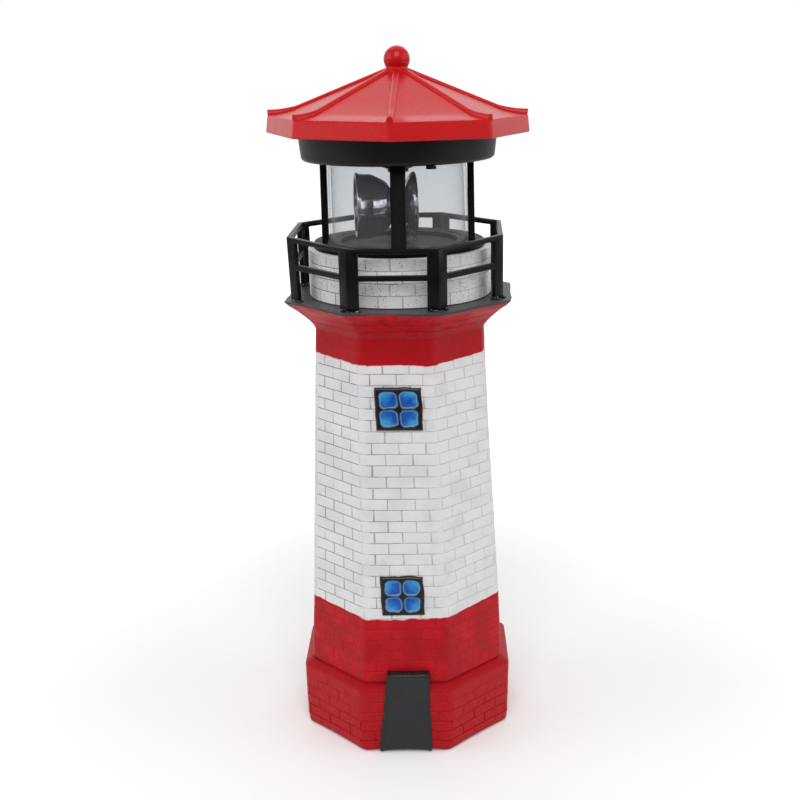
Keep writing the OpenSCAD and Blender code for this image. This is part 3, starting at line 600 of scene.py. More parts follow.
@dataclass(frozen=True)
class SidedRing:
    """A level ring with eight flat sides and round corners, or a round one.

    STOPS are the places of its points along a side, closer together at the corners.
    """

    z: float
    half_width: float
    corner: float = 4.0
    roundness: float = 0.0
    wave: float = 0.0

    WAVES_PER_MM = 0.16
    STOPS = (-0.5, -0.483, -0.466, -0.44, -0.3, -0.2, -0.1, 0.0, 0.1, 0.2, 0.3, 0.44, 0.466, 0.483)

    def points(self, turn: float = 0.0) -> list[Point]:
        """Lays out the ring's points, counter-clockwise from above.

        Args:
            turn: Turn about Z in radians.

        Returns:
            The points.
        """
        made = []
        cut = self.corner * math.tan(HALF_SIDE)
        half = self.half_width * math.tan(HALF_SIDE)
        for side in range(SIDES):
            for stop in self.STOPS:
                x = stop * 2 * half
                bend = max(0.0, abs(x) - half + cut) / cut * HALF_SIDE
                along = math.copysign(min(abs(x), half - cut) + self.corner * math.sin(bend), x)
                out = self.half_width - self.corner * (1 - math.cos(bend))
                base = side * 2 * HALF_SIDE + turn
                flat = Vector((along, -out)).to_3d()
                flat.rotate(Matrix.Rotation(base, 3, "Z"))
                angle = (side + stop) * 2 * HALF_SIDE + turn
                circle = self.half_width * Vector((math.sin(angle), -math.cos(angle), 0))
                spot = flat.lerp(circle, self.roundness)
                if self.wave:
                    push = noise.noise(Vector((*spot.xy, self.z)) * self.WAVES_PER_MM) - 0.5
                    spot = spot * (1 + self.wave * push / self.half_width)
                made.append((spot.x, spot.y, self.z))
        return made


def off_middle(spoke: float) -> float:
    """Angle from the middle of the nearest of eight sides, for an angle round the axis."""
    return (spoke + HALF_SIDE) % (2 * HALF_SIDE) - HALF_SIDE


def arc(centre: tuple[float, float], radius: float, start: float, end: float, steps: int) -> list:
    """Points of an arc in a profile.

    Args:
        centre: Radius and height of the arc's middle.
        radius: Radius of the arc.
        start: First angle in degrees, from the outward direction.
        end: Last angle.
        steps: Number of steps.

    Returns:
        Pairs of radius and height.
    """
    angles = (math.radians(start + (end - start) * i / steps) for i in range(steps + 1))
    return [(centre[0] + radius * math.cos(a), centre[1] + radius * math.sin(a)) for a in angles]


def softened(node: str, name: str, material: bpy.types.Material, bevel: float) -> bpy.types.Object:
    """Copies a CAD node, merges its triangles and rounds its edges inwards.

    Args:
        node: The CAD node.
        name: Name of the new piece.
        material: Its finish.
        bevel: Width of the rounding.

    Returns:
        The piece, which replaces the node.
    """
    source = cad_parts[node].data
    mesh = bpy.data.meshes.new(name)
    corners = [vert.co[:] for vert in source.vertices]
    mesh.from_pydata(corners, [], [face.vertices[:] for face in source.polygons])
    form = bmesh.new()
    form.from_mesh(mesh)
    bmesh.ops.remove_doubles(form, verts=form.verts, dist=2e-6)
    flat = math.radians(1.0)
    bmesh.ops.dissolve_limit(form, angle_limit=flat, verts=form.verts, edges=form.edges)
    form.to_mesh(mesh)
    form.free()
    mesh.materials.append(material)
    piece = placed(name, mesh)
    sharp = 35.0
    rounding = piece.modifiers.new("rounding", "BEVEL")
    rounding.width = bevel * MM
    rounding.segments = 2
    rounding.limit_method = "ANGLE"
    rounding.angle_limit = math.radians(sharp)
    rounding.use_clamp_overlap = True
    bake(piece)
    smoothed(piece.data, sharp)
    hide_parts(node)
    return piece


def mount(piece: bpy.types.Object, body: str, slot: str, *nodes: str) -> None:
    """Hangs a piece on its body, hides the nodes it stands for, and reports it.

    Args:
        piece: The finished piece.
        body: The CAD body that it moves with.
        slot: Not used.
        nodes: CAD nodes that it replaces.
    """
    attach(piece, body)
    if nodes:
        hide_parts(*nodes)
    log.info("%s rides on %s, %d faces", piece.name, body, len(piece.data.polygons))


# ---------------------------------------------------------------- finishes


@dataclass(frozen=True)
class MouldedPlastic:
    """Injection-moulded plastic with a faint texture from its mould."""

    name: str
    colour: Colour
    roughness: float = 0.4
    texture: float = 0.015
    texture_size: float = 0.5
    tint: float = 0.08
    sheen: float = 0.5

    def material(self) -> bpy.types.Material:
        """Builds the plastic.

        Returns:
            The material.
        """
        paint = Surface(self.name)
        cloud = paint.grain(9.0, 3.0)
        fine = paint.grain(self.texture_size, 1.0)
        darker = dimmed(self.colour, 1 - 2 * self.tint)
        return paint.solid(
            Base_Color=paint.mix(cloud.rise(0.3, 0.7), darker, self.colour),
            Roughness=cloud * 0.12 + (self.roughness - 0.06),
            Specular_IOR_Level=self.sheen,
            Normal=paint.bump(fine, self.texture),
        )


@dataclass(frozen=True)
class PlainMetal:
    """Drawn or turned metal with fine scratches along one direction."""

    name: str
    colour: Colour
    roughness: float = 0.3
    along: Point = (1.0, 1.0, 12.0)

    def material(self) -> bpy.types.Material:
        """Builds the metal.

        Returns:
            The material.
        """
        paint = Surface(self.name)
        scratches = paint.grain(1.5, 2.0, self.along)
        return paint.solid(
            Base_Color=self.colour,
            Metallic=1.0,
            Roughness=scratches * 0.25 + (self.roughness - 0.12),
            Normal=paint.bump(scratches, 0.01),
        )


@dataclass(frozen=True)
class MirrorPlating:
    """Vacuum plating on a moulded cup: bright, slightly uneven, duller in random patches."""

    name: str = "mirror plating"
    bright: Colour = srgb(214, 214, 218)
    dull: Colour = srgb(150, 150, 156)

    def material(self) -> bpy.types.Material:
        """Builds the plating.

        Returns:
            The material.
        """
        paint = Surface(self.name)
        cloud = paint.grain(5.0, 2.0)
        return paint.solid(
            Base_Color=paint.mix(cloud.rise(0.35, 0.65), self.dull, self.bright),
            Metallic=1.0,
            Roughness=cloud * 0.08 + 0.06,
            Normal=paint.bump(paint.grain(2.5, 1.0), 0.05),
        )


@dataclass(frozen=True)
class ClearPlastic:
    """Clear extruded tube: see-through, with a faint tint and a gloss that grows at its sides."""

    name: str = "clear plastic"
    tint: Colour = srgb(243, 244, 245)
    skin: Colour = srgb(200, 202, 204)
    gloss: float = 0.07
    side_gloss: float = 0.5

    def material(self) -> bpy.types.Material:
        """Builds the tube's finish.

        Returns:
            The material.
        """
        paint = Surface(self.name)
        edge = paint.get("ShaderNodeLayerWeight", None, {"Blend": 0.5}, "Facing")
        sheen = paint.shade(Base_Color=self.skin, Roughness=0.05)
        through = paint.get("ShaderNodeBsdfTransparent", None, {"Color": self.tint})
        steep = edge * edge
        share = steep * steep * self.side_gloss + self.gloss
        return paint.done(paint.get("ShaderNodeMixShader", None, {0: share, 1: through, 2: sheen}))


@dataclass(frozen=True)
class Winding:
    """How far the casting's faces are turned at a height, in degrees, as its mould winds."""

    turn: float = -2.0
    foot: float = 1.16
    foot_top: float = 28.0
    low_rate: float = 0.036
    middle: float = 2.2
    middle_z: float = 57.2
    high_rate: float = 0.037
    least: float = -1.7

    def at(self, z: float) -> float:
        """The turn at a height."""
        low = self.foot + self.low_rate * max(0.0, z - self.foot_top)
        high = self.middle - self.high_rate * (z - self.middle_z)
        return self.turn + max(self.least, min(low, high))

    def shown(self, z: Wire) -> Wire:
        """The same turn in a node tree."""
        low = (z - self.foot_top).most(0.0) * self.low_rate + self.foot
        high = (z - self.middle_z) * -self.high_rate + self.middle
        return low.least(high).most(self.least) + self.turn


@dataclass(frozen=True)
class CastPaint:
    """The casting's hand paint: red foot, white shaft, red head, black deck and white drum."""

    name: str
    mortar: bool
    red: Colour = srgb(188, 8, 25)
    dark_red: Colour = srgb(164, 6, 18)
    # A red darkened as painted shade, for the foot and the band under the cove.
    shaded_red: Colour = srgb(172, 6, 18)
    # A red lightened as painted light, for the cove.
    cove_lit_red: Colour = srgb(240, 20, 40)
    # A dark red as painted shadow, for the crease at the ledge's top.
    crease_shadow_red: Colour = srgb(84, 4, 12)
    # A white lightened as painted light, for the drum.
    drum_lit_white: Colour = srgb(244, 242, 242)
    white: Colour = srgb(226, 225, 226)
    shade_white: Colour = srgb(214, 213, 215)
    joint_grey: Colour = srgb(142, 142, 148)
    faint_grey: Colour = srgb(202, 201, 203)
    pink: Colour = srgb(228, 180, 182)
    pit_grey: Colour = srgb(96, 94, 92)
    # The deck's black, lightened as a painted sheen on its top; its edge takes the next grey.
    black: Colour = srgb(74, 74, 76)
    edge_grey: Colour = srgb(60, 62, 63)
    low_border: float = 57.7
    high_border: float = 161.7
    border_softness: float = 0.15
    pink_half: float = 0.25
    deck_low: float = 183.3
    deck_top: float = 184.55
    ledge: float = 30.3
    cove_low: float = 172.0
    cove_high: float = 181.4
    cove_course: float = 3.3

    def material(self) -> bpy.types.Material:
        """Builds the paint for the bricks' faces, or for the joints behind them.

        Returns:
            The material.
        """
        paint = Surface(self.name)
        x, y, z = paint.split(paint.place)
        around = paint.get("ShaderNodeMath", {"operation": "ARCTAN2"}, {0: y, 1: x})
        # Places across a side, and up the casting with a hand's tremor.
        turned = Winding().shown(z) * math.radians(1)
        side = (around - turned) / (2 * HALF_SIDE) % 1.0
        off_corner = abs(side - 0.5).rise(0.03, 0.09)
        wavy = z + (paint.grain(6.0, 1.0) - 0.5) * 1.6 + (paint.grain(1.6, 1.0) - 0.5) * 0.5
        wavy = wavy - (abs(x) - 15.0).most(0.0) * 0.052
        over_low, over_high = (
            wavy.rise(border - self.border_softness, border + self.border_softness)
            for border in (self.low_border, self.high_border)
        )
        whitened = over_low - over_high
        steady = z + (paint.grain(9.0, 1.0) - 0.5) * 2.6
        drum = z.rise(self.deck_top - 0.1, self.deck_top + 0.1)
        deck = steady.rise(self.deck_low - 0.1, self.deck_low + 0.1) - drum
        cloud = paint.grain(11.0, 3.0)
        patch = paint.grain(3.2, 2.0)
        # Reds: darker at the foot and on the band under the cove as painted shade, lighter on the
        # cove as painted light, and a painted shadow in the crease at the ledge's top.
        # Painted shade: the red darkens towards the foot.
        low = z.rise(36.0, 24.0) * 0.4
        red = paint.mix(cloud.rise(0.35, 0.7).least(1.0 - low), self.dark_red, self.red)
        # Painted shade on the foot and on the band under the cove.
        edges = z.rise(29.5, 27.5).most(z.rise(158.0, 161.0))
        red = paint.mix(edges * 0.8, red, self.shaded_red)
        red = paint.mix(z.rise(171.0, 176.0), red, self.cove_lit_red)
        # Painted shadow in the crease at the ledge's top.
        crease = 1.0 - abs(z - self.ledge).rise(0.2, 0.75)
        red = paint.mix(crease * 0.85, red, self.crease_shadow_red)
        # Whites, lightened on the drum as painted light, with the joints' grey behind the bricks
        # and pits on the drum.
        white = paint.mix(cloud.rise(0.3, 0.6), self.shade_white, self.white)
        white = paint.mix(drum * 0.9, white, self.drum_lit_white)
        rim = (abs(wavy - self.high_border) - self.pink_half).rise(-0.12, 0.12)
        rim = rim.least((abs(wavy - self.low_border) - self.pink_half).rise(-0.12, 0.12))
        if self.mortar:
            # The joints' grey is darker towards the left and fainter towards the right.
            joint_darkness = (x * -0.012 + patch).rise(0.2, 0.9)
            red = paint.mix(patch.rise(0.3, 0.8) * 0.5, self.dark_red, red)
            grey = paint.mix(joint_darkness, self.faint_grey, self.joint_grey)
            white = paint.mix(off_corner.most(drum), self.shade_white, grey)
        else:
            white = paint.mix(paint.own("tone") * 0.3, white, self.shade_white)
            holes = paint.get(
                "ShaderNodeTexVoronoi", None, {"Vector": paint.place, "Scale": 1.1}, "Distance"
            )
            pits = (holes * -1.0).rise(-0.3, -0.16) * patch.rise(0.44, 0.52) * drum
            white = paint.mix(pits * 0.75, white, self.pit_grey)
        white = paint.mix(rim, self.pink, white)
        # Painted sheen: the deck's top is lighter than its edge.
        deck_paint_and_sheen = paint.mix(
            z.rise(self.deck_top - 0.9, self.deck_top - 0.3), self.edge_grey, self.black
        )
        coloured = paint.mix((whitened + drum).least(1.0), red, white)
        coloured = paint.mix(deck, coloured, deck_paint_and_sheen)
        # Faint courses are cast into the cove.
        courses = abs((z - self.cove_low) / self.cove_course % 1.0 - 0.5).rise(0.42, 0.5)
        cove = z.rise(self.cove_low + 0.2, self.cove_low + 0.6)
        cove = cove - z.rise(self.cove_high, self.cove_high + 0.5)
        relief = patch * 0.7 + paint.grain(0.7, 2.0) * 0.3 - courses * cove * 0.9
        return paint.solid(
            Base_Color=coloured,
            Specular_IOR_Level=0.2,
            Roughness=patch * 0.2 + 0.32,
            Normal=paint.bump(relief, 0.28),
        )


@dataclass(frozen=True)
class WindowEnamel:
    """Paint of a window: dark bars, and blue panes with a pale line inside their edge."""

    name: str = "window paint"
    bars: Colour = srgb(24, 12, 16)
    deep: Colour = srgb(12, 78, 168)
    bright: Colour = srgb(56, 156, 214)
    line: Colour = srgb(108, 160, 198)

    def material(self) -> bpy.types.Material:
        """Builds the window's paint.

        Returns:
            The material.
        """
        paint = Surface(self.name)
        bar, inside, outward = paint.own("bar"), paint.own("inside"), paint.own("outward")
        cloud = paint.grain(3.0, 2.0)
        blue = paint.mix((outward + cloud * 0.5).rise(0.55, 1.0), self.deep, self.bright)
        ring = 1.0 - inside.rise(0.2, 0.75)
        pane = paint.mix(ring * 0.75, blue, self.line)
        return paint.solid(
            Base_Color=paint.mix(bar, pane, self.bars),
            Specular_IOR_Level=0.35,
            Roughness=cloud * 0.15 + 0.22,
            Normal=paint.bump(cloud, 0.1),
        )


@dataclass(frozen=True)
class DoorPaint:
    """Paint of the door: slate panel between darker borders."""

    name: str = "door paint"
    border: Colour = srgb(17, 17, 21)
    panel: Colour = srgb(25, 25, 31)

    def material(self) -> bpy.types.Material:
        """Builds the door's paint.

        Returns:
            The material.
        """
        paint = Surface(self.name)
        cloud = paint.grain(4.0, 3.0)
        panel = paint.mix(cloud.rise(0.35, 0.65), dimmed(self.panel, 0.7), self.panel)
        return paint.solid(
            Base_Color=paint.mix(paint.own("bar"), panel, self.border),
            Roughness=cloud * 0.2 + 0.35,
            Normal=paint.bump(paint.grain(1.2, 2.0), 0.08),
        )


@dataclass(frozen=True)
class SolarCell:
    """Dark blue cell under clear resin, with fine silver conductors."""

    name: str = "solar cell"
    cell: Colour = srgb(22, 30, 66)
    conductor: Colour = srgb(150, 155, 165)
    thick_spacing: float = 4.6
    thin_spacing: float = 1.3

    def material(self) -> bpy.types.Material:
        """Builds the cell.

        Returns:
            The material.
        """
        paint = Surface(self.name)
        x, y, _ = paint.split(paint.place)
        thick = abs(x / self.thick_spacing % 1.0 - 0.5).rise(0.45, 0.47)
        thin = abs(y / self.thin_spacing % 1.0 - 0.5).rise(0.46, 0.48)
        cloud = paint.grain(6.0, 2.0)
        return paint.solid(
            Base_Color=paint.mix(thick.most(thin * 0.45), self.cell, self.conductor),
            Roughness=cloud * 0.1 + 0.1,
            Coat_Weight=0.6,
        )


@dataclass(frozen=True)
class BoardGreen:
    """Soldered board: green mask with paler tracks under it."""

    name: str = "circuit board"
    mask: Colour = srgb(24, 84, 46)
    track: Colour = srgb(60, 128, 74)
    spacing: float = 2.2

    def material(self) -> bpy.types.Material:
        """Builds the board.

        Returns:
            The material.
        """
        paint = Surface(self.name)
        x, y, _ = paint.split(paint.place)
        tracks = abs((x + y) / self.spacing % 1.0 - 0.5).rise(0.32, 0.38)
        return paint.solid(
            Base_Color=paint.mix(tracks, self.mask, self.track),
            Roughness=paint.grain(2.0) * 0.2 + 0.3,
        )


@dataclass(frozen=True)
class CellJacket:
    """Shrunk jacket of the battery cell: green, with a steel end."""

    name: str = "cell jacket"
    jacket: Colour = srgb(42, 120, 72)
    steel: Colour = srgb(170, 170, 172)
    end: float = 21.0

    def material(self) -> bpy.types.Material:
        """Builds the jacket.

        Returns:
            The material.
        """
        paint = Surface(self.name)
        bare = paint.split(paint.place)[0].rise(self.end, self.end + 0.1)
        return paint.solid(
            Base_Color=paint.mix(bare, self.jacket, self.steel),
            Metallic=bare,
            Roughness=paint.grain(3.0) * 0.2 + 0.2,
        )


class Finish(Enum):
    """Finishes that more than one piece takes."""

    BLACK = MouldedPlastic("black plastic", srgb(11, 11, 13), 0.38, 0.02, 0.45, 0.1, 0.28)
    CAGE = MouldedPlastic("cage plastic", srgb(6, 6, 8), 0.42, 0.02, 0.45, 0.1, 0.1)
    RAIL = MouldedPlastic("rail plastic", srgb(9, 9, 12), 0.3, 0.02, 0.8, 0.1, 0.2)
    GLUE = MouldedPlastic("black glue", srgb(12, 12, 14), 0.1, 0.05, 1.5, 0.1, 0.5)
    ROOF = MouldedPlastic("roof plastic", srgb(197, 15, 19), 0.27, 0.005, 1.6, 0.03, 0.25)
    WHITE = MouldedPlastic("white plastic", srgb(222, 222, 218), 0.4)
    GEAR = MouldedPlastic("gear plastic", srgb(226, 218, 196), 0.45)
    LEADS = MouldedPlastic("lead jacket", srgb(176, 34, 30), 0.4)
    LENS = MouldedPlastic("lamp lens", srgb(240, 232, 186), 0.12)
    STEEL = PlainMetal("screw steel", srgb(190, 190, 192))
    MOTOR = PlainMetal("motor steel", srgb(196, 196, 198), 0.28)
    BRASS = PlainMetal("turned brass", srgb(206, 170, 92), 0.26)
    CONTACT = PlainMetal("contact plate", srgb(206, 202, 184), 0.3)

    def made(self) -> bpy.types.Material:
        """The material, built when it is first asked for."""
        return bpy.data.materials.get(self.value.name) or self.value.material()


# ---------------------------------------------------------------- tower


@dataclass
class Masonry:
    """Courses of bricks laid round an eight-sided or round wall, each a raised block."""

    name: str
    courses: int
    per_course: int
    base: float
    top: float
    low_half: float
    high_half: float
    joint: float = 0.36
    corner: float = 4.0
    relief: float = 0.3
    sink: float = 0.5
    bevel: float = 0.14
    wobble: float = 0.08
    roundness: float = 0.0
    phase: float = 0.375
    seed: int = 7

    def inputs(self, material: bpy.types.Material) -> dict[str, tuple[str, Any]]:
        """Lists the tree's inputs.

        Args:
            material: The bricks' paint.

        Returns:
            For each named input, its kind and value.
        """
        return {
            "Courses": ("Int", self.courses),
            "Per Course": ("Int", self.per_course),
            "Base": ("Float", self.base * MM),
            "Height": ("Float", (self.top - self.base) * MM),
            "Low Half Width": ("Float", self.low_half * MM),
            "High Half Width": ("Float", self.high_half * MM),
            "Joint": ("Float", self.joint * MM),
            "Corner Radius": ("Float", self.corner * MM),
            "Relief": ("Float", self.relief * MM),
            "Sink": ("Float", self.sink * MM),
            "Phase": ("Float", self.phase),
            "Bevel": ("Float", self.bevel * MM),
            "Wobble": ("Float", self.wobble * MM),
            "Roundness": ("Float", self.roundness),
            "Seed": ("Int", self.seed),
            "Material": ("Material", material),
        }

    @staticmethod
    def brick(plan: Pattern, length: Wire, height: Wire) -> Wire:
        """Shapes one brick in a flat unit space, with its front towards -Y.

        Args:
            plan: The tree.
            length: The brick's length in metres.
            height: Its height in metres.

        Returns:
            The brick's mesh: unit length and height, and its depth in metres.
        """
        block = plan.get(
            "GeometryNodeMeshCube",
            None,
            {"Size": (1.0, 1.0, 1.0), "Vertices X": 10, "Vertices Y": 2, "Vertices Z": 4},
        )
        x, y, z = plan.split(plan.get("GeometryNodeInputPosition"))
        bevel = plan.given("Bevel")
        # The outermost points stay on the rim, and the next ones become the bevel's inner edge.
        rim_x, rim_z = abs(x).above(0.45), abs(z).above(0.45)
        near_x = abs(x).above(0.35) - rim_x
        new_x = x + near_x * (x.sign() * (0.5 - bevel / length) - x)
        new_x = new_x + (1 - rim_x.most(near_x)) * x * 0.25
        new_z = z + (1 - rim_z) * (z.sign() * (0.5 - bevel / height) - z)
        front = y.sign() * -0.5 + 0.5
        rim = rim_x.most(rim_z)
        depth = front * rim * bevel + (1 - front) * (plan.given("Relief") + plan.given("Sink"))
        spot = plan.join(new_x, depth, new_z)
        return plan.get("GeometryNodeSetPosition", None, {"Geometry": block, "Position": spot})

    @staticmethod
    def wrapped(plan: Pattern, wall: Wire) -> Wire:
        """Bends the flat wall round the tower.

        Args:
            plan: The tree.
            wall: Bricks with X in sides, Y as depth and Z as height.

        Returns:
            The bricks in place.
        """
        u, depth, h = plan.split(plan.get("GeometryNodeInputPosition"))
        corner = plan.given("Corner Radius")
        half = (h / plan.given("Height")).between(
            plan.given("Low Half Width"), plan.given("High Half Width")
        )
        side = u.floor()
        edge = half * math.tan(HALF_SIDE)
        x = (u - side - 0.5) * 2.0 * edge
        cut = corner * math.tan(HALF_SIDE)
        bend = (abs(x) - edge + cut).most(0.0) / cut * HALF_SIDE
        reach = corner - depth
        along = x.sign() * (abs(x).least(edge - cut) + reach * bend.sine())
        out = half - corner + reach * bend.cosine()
        base = side * (2 * HALF_SIDE)
        angle = (u - 0.5) * (2 * HALF_SIDE)
        radius = half - depth
        share = plan.given("Roundness")
        px = share.between(along * base.cosine() + out * base.sine(), radius * angle.sine())
        py = share.between(
            along * base.sine() - out * base.cosine(), radius * angle.cosine() * -1.0
        )
        spot = plan.join(px, py, h + plan.given("Base"))
        return plan.get("GeometryNodeSetPosition", None, {"Geometry": wall, "Position": spot})

    def build(self, material: bpy.types.Material) -> bpy.types.Object:
        """Lays the bricks.

        Args:
            material: Their paint.

        Returns:
            The bricks as one piece.
        """
        plan = Pattern(self.name, self.inputs(material))
        courses, per_course = plan.given("Courses"), plan.given("Per Course")
        joint = plan.given("Joint")
        # One point for each brick, laid out flat with X in sides of the tower.
        step = plan.given("Height") / courses
        side = (plan.given("Low Half Width") + plan.given("High Half Width")) * math.tan(HALF_SIDE)
        pitch = SIDES / per_course
        length, height = pitch * side - joint, step - joint
        places = plan.get("GeometryNodeMeshLine", None, {"Count": courses * per_course})
        index = plan.get("GeometryNodeInputIndex")
        row = (index / per_course).floor()
        column = index - row * per_course
        shift = row % 2.0 * 0.5 + plan.given("Phase") + plan.chance(-0.012, 0.012, 1)
        spot = plan.join((column + shift) * pitch, plan.chance(0.0, 0.00009, 2), (row + 0.5) * step)
        places = plan.get("GeometryNodeSetPosition", None, {"Geometry": places, "Position": spot})
        places = plan.get(
            "GeometryNodeStoreNamedAttribute",
            {"data_type": "FLOAT", "domain": "POINT"},
            {"Geometry": places, "Name": "tone", "Value": plan.chance(0.0, 1.0, 3)},
        )
        size = plan.join(length / side * plan.chance(0.985, 1.0, 4), 1.0, height)
        laid = plan.get(
            "GeometryNodeInstanceOnPoints",
            None,
            {"Points": places, "Instance": self.brick(plan, length, height), "Scale": size},
        )
        wall = plan.get("GeometryNodeRealizeInstances", None, {"Geometry": laid})
        wall = plan.shaken(self.wrapped(plan, wall), 0.0035, plan.given("Wobble"))
        smooth = plan.get("GeometryNodeSetShadeSmooth", None, {"Geometry": wall})
        piece = plan.baked(self.name, smooth)
        piece.data.set_sharp_from_angle(angle=math.radians(33))
        return piece


@dataclass
class Relief:
    """A raised panel cast on the wall: a block whose front is shaped by a height rule."""

    low_width: float
    top_width: float
    height: float
    cell: float = 0.3
    back: float = 2.0
    shake: float = 0.35

    def build(
        self,
        name: str,
        material: bpy.types.Material,
        rule: Callable[[float, float], tuple[float, float, float, float]],
        place: Matrix,
    ) -> bpy.types.Object:
        """Makes the block.

        Args:
            name: Name of the piece.
            material: Its paint, which reads the attributes bar, inside and outward.
            rule: Gives height and those three at a place across and up the panel.
            place: Puts X across, Y up the wall and Z outwards in millimetres.

        Returns:
            The piece.
        """
        columns = round(self.low_width / self.cell)
        rows = round(self.height / self.cell)
        mesh = bpy.data.meshes.new(name)
        form = bmesh.new()
        labels = ("bar", "inside", "outward")
        for label in labels:
            form.verts.layers.float.new(label)
        layers = [form.verts.layers.float[label] for label in labels]
        grids: list[list[list[bmesh.types.BMVert]]] = []
        for layer in range(2):
            grid = []
            for j in range(rows + 1):
                v = j / rows
                width = self.low_width + (self.top_width - self.low_width) * v
                line = []
                for i in range(columns + 1):
                    x, y = (i / columns - 0.5) * width, v * self.height
                    height, *values = rule(x, y)
                    sway = noise.noise_vector(Vector((x, y, self.height)) * 0.25) * self.shake
                    flat = Vector((x + sway.x, y + sway.y * min(1.0, y / 2)))
                    spot = place @ Vector((*flat, height if layer else -self.back))
                    vert = form.verts.new(spot * MM)
                    for store, value in zip(layers, values):
                        vert[store] = value
                    line.append(vert)
                grid.append(line)
            grids.append(grid)
        for j in range(rows):
            for i in range(columns):
                for grid in grids:
                    low, high = grid[j], grid[j + 1]
                    form.faces.new((low[i], low[i + 1], high[i + 1], high[i]))
        rims = [
            [g[0] for g in grids],
            [g[rows] for g in grids],
            [[line[0] for line in g] for g in grids],
            [[line[columns] for line in g] for g in grids],
        ]
        for low, high in rims:
            for i in range(len(low) - 1):
                form.faces.new((low[i], low[i + 1], high[i + 1], high[i]))
        bmesh.ops.recalc_face_normals(form, faces=form.faces)
        form.to_mesh(mesh)
        form.free()
        smoothed(mesh, 60.0)
        mesh.materials.append(material)
        return placed(name, mesh)


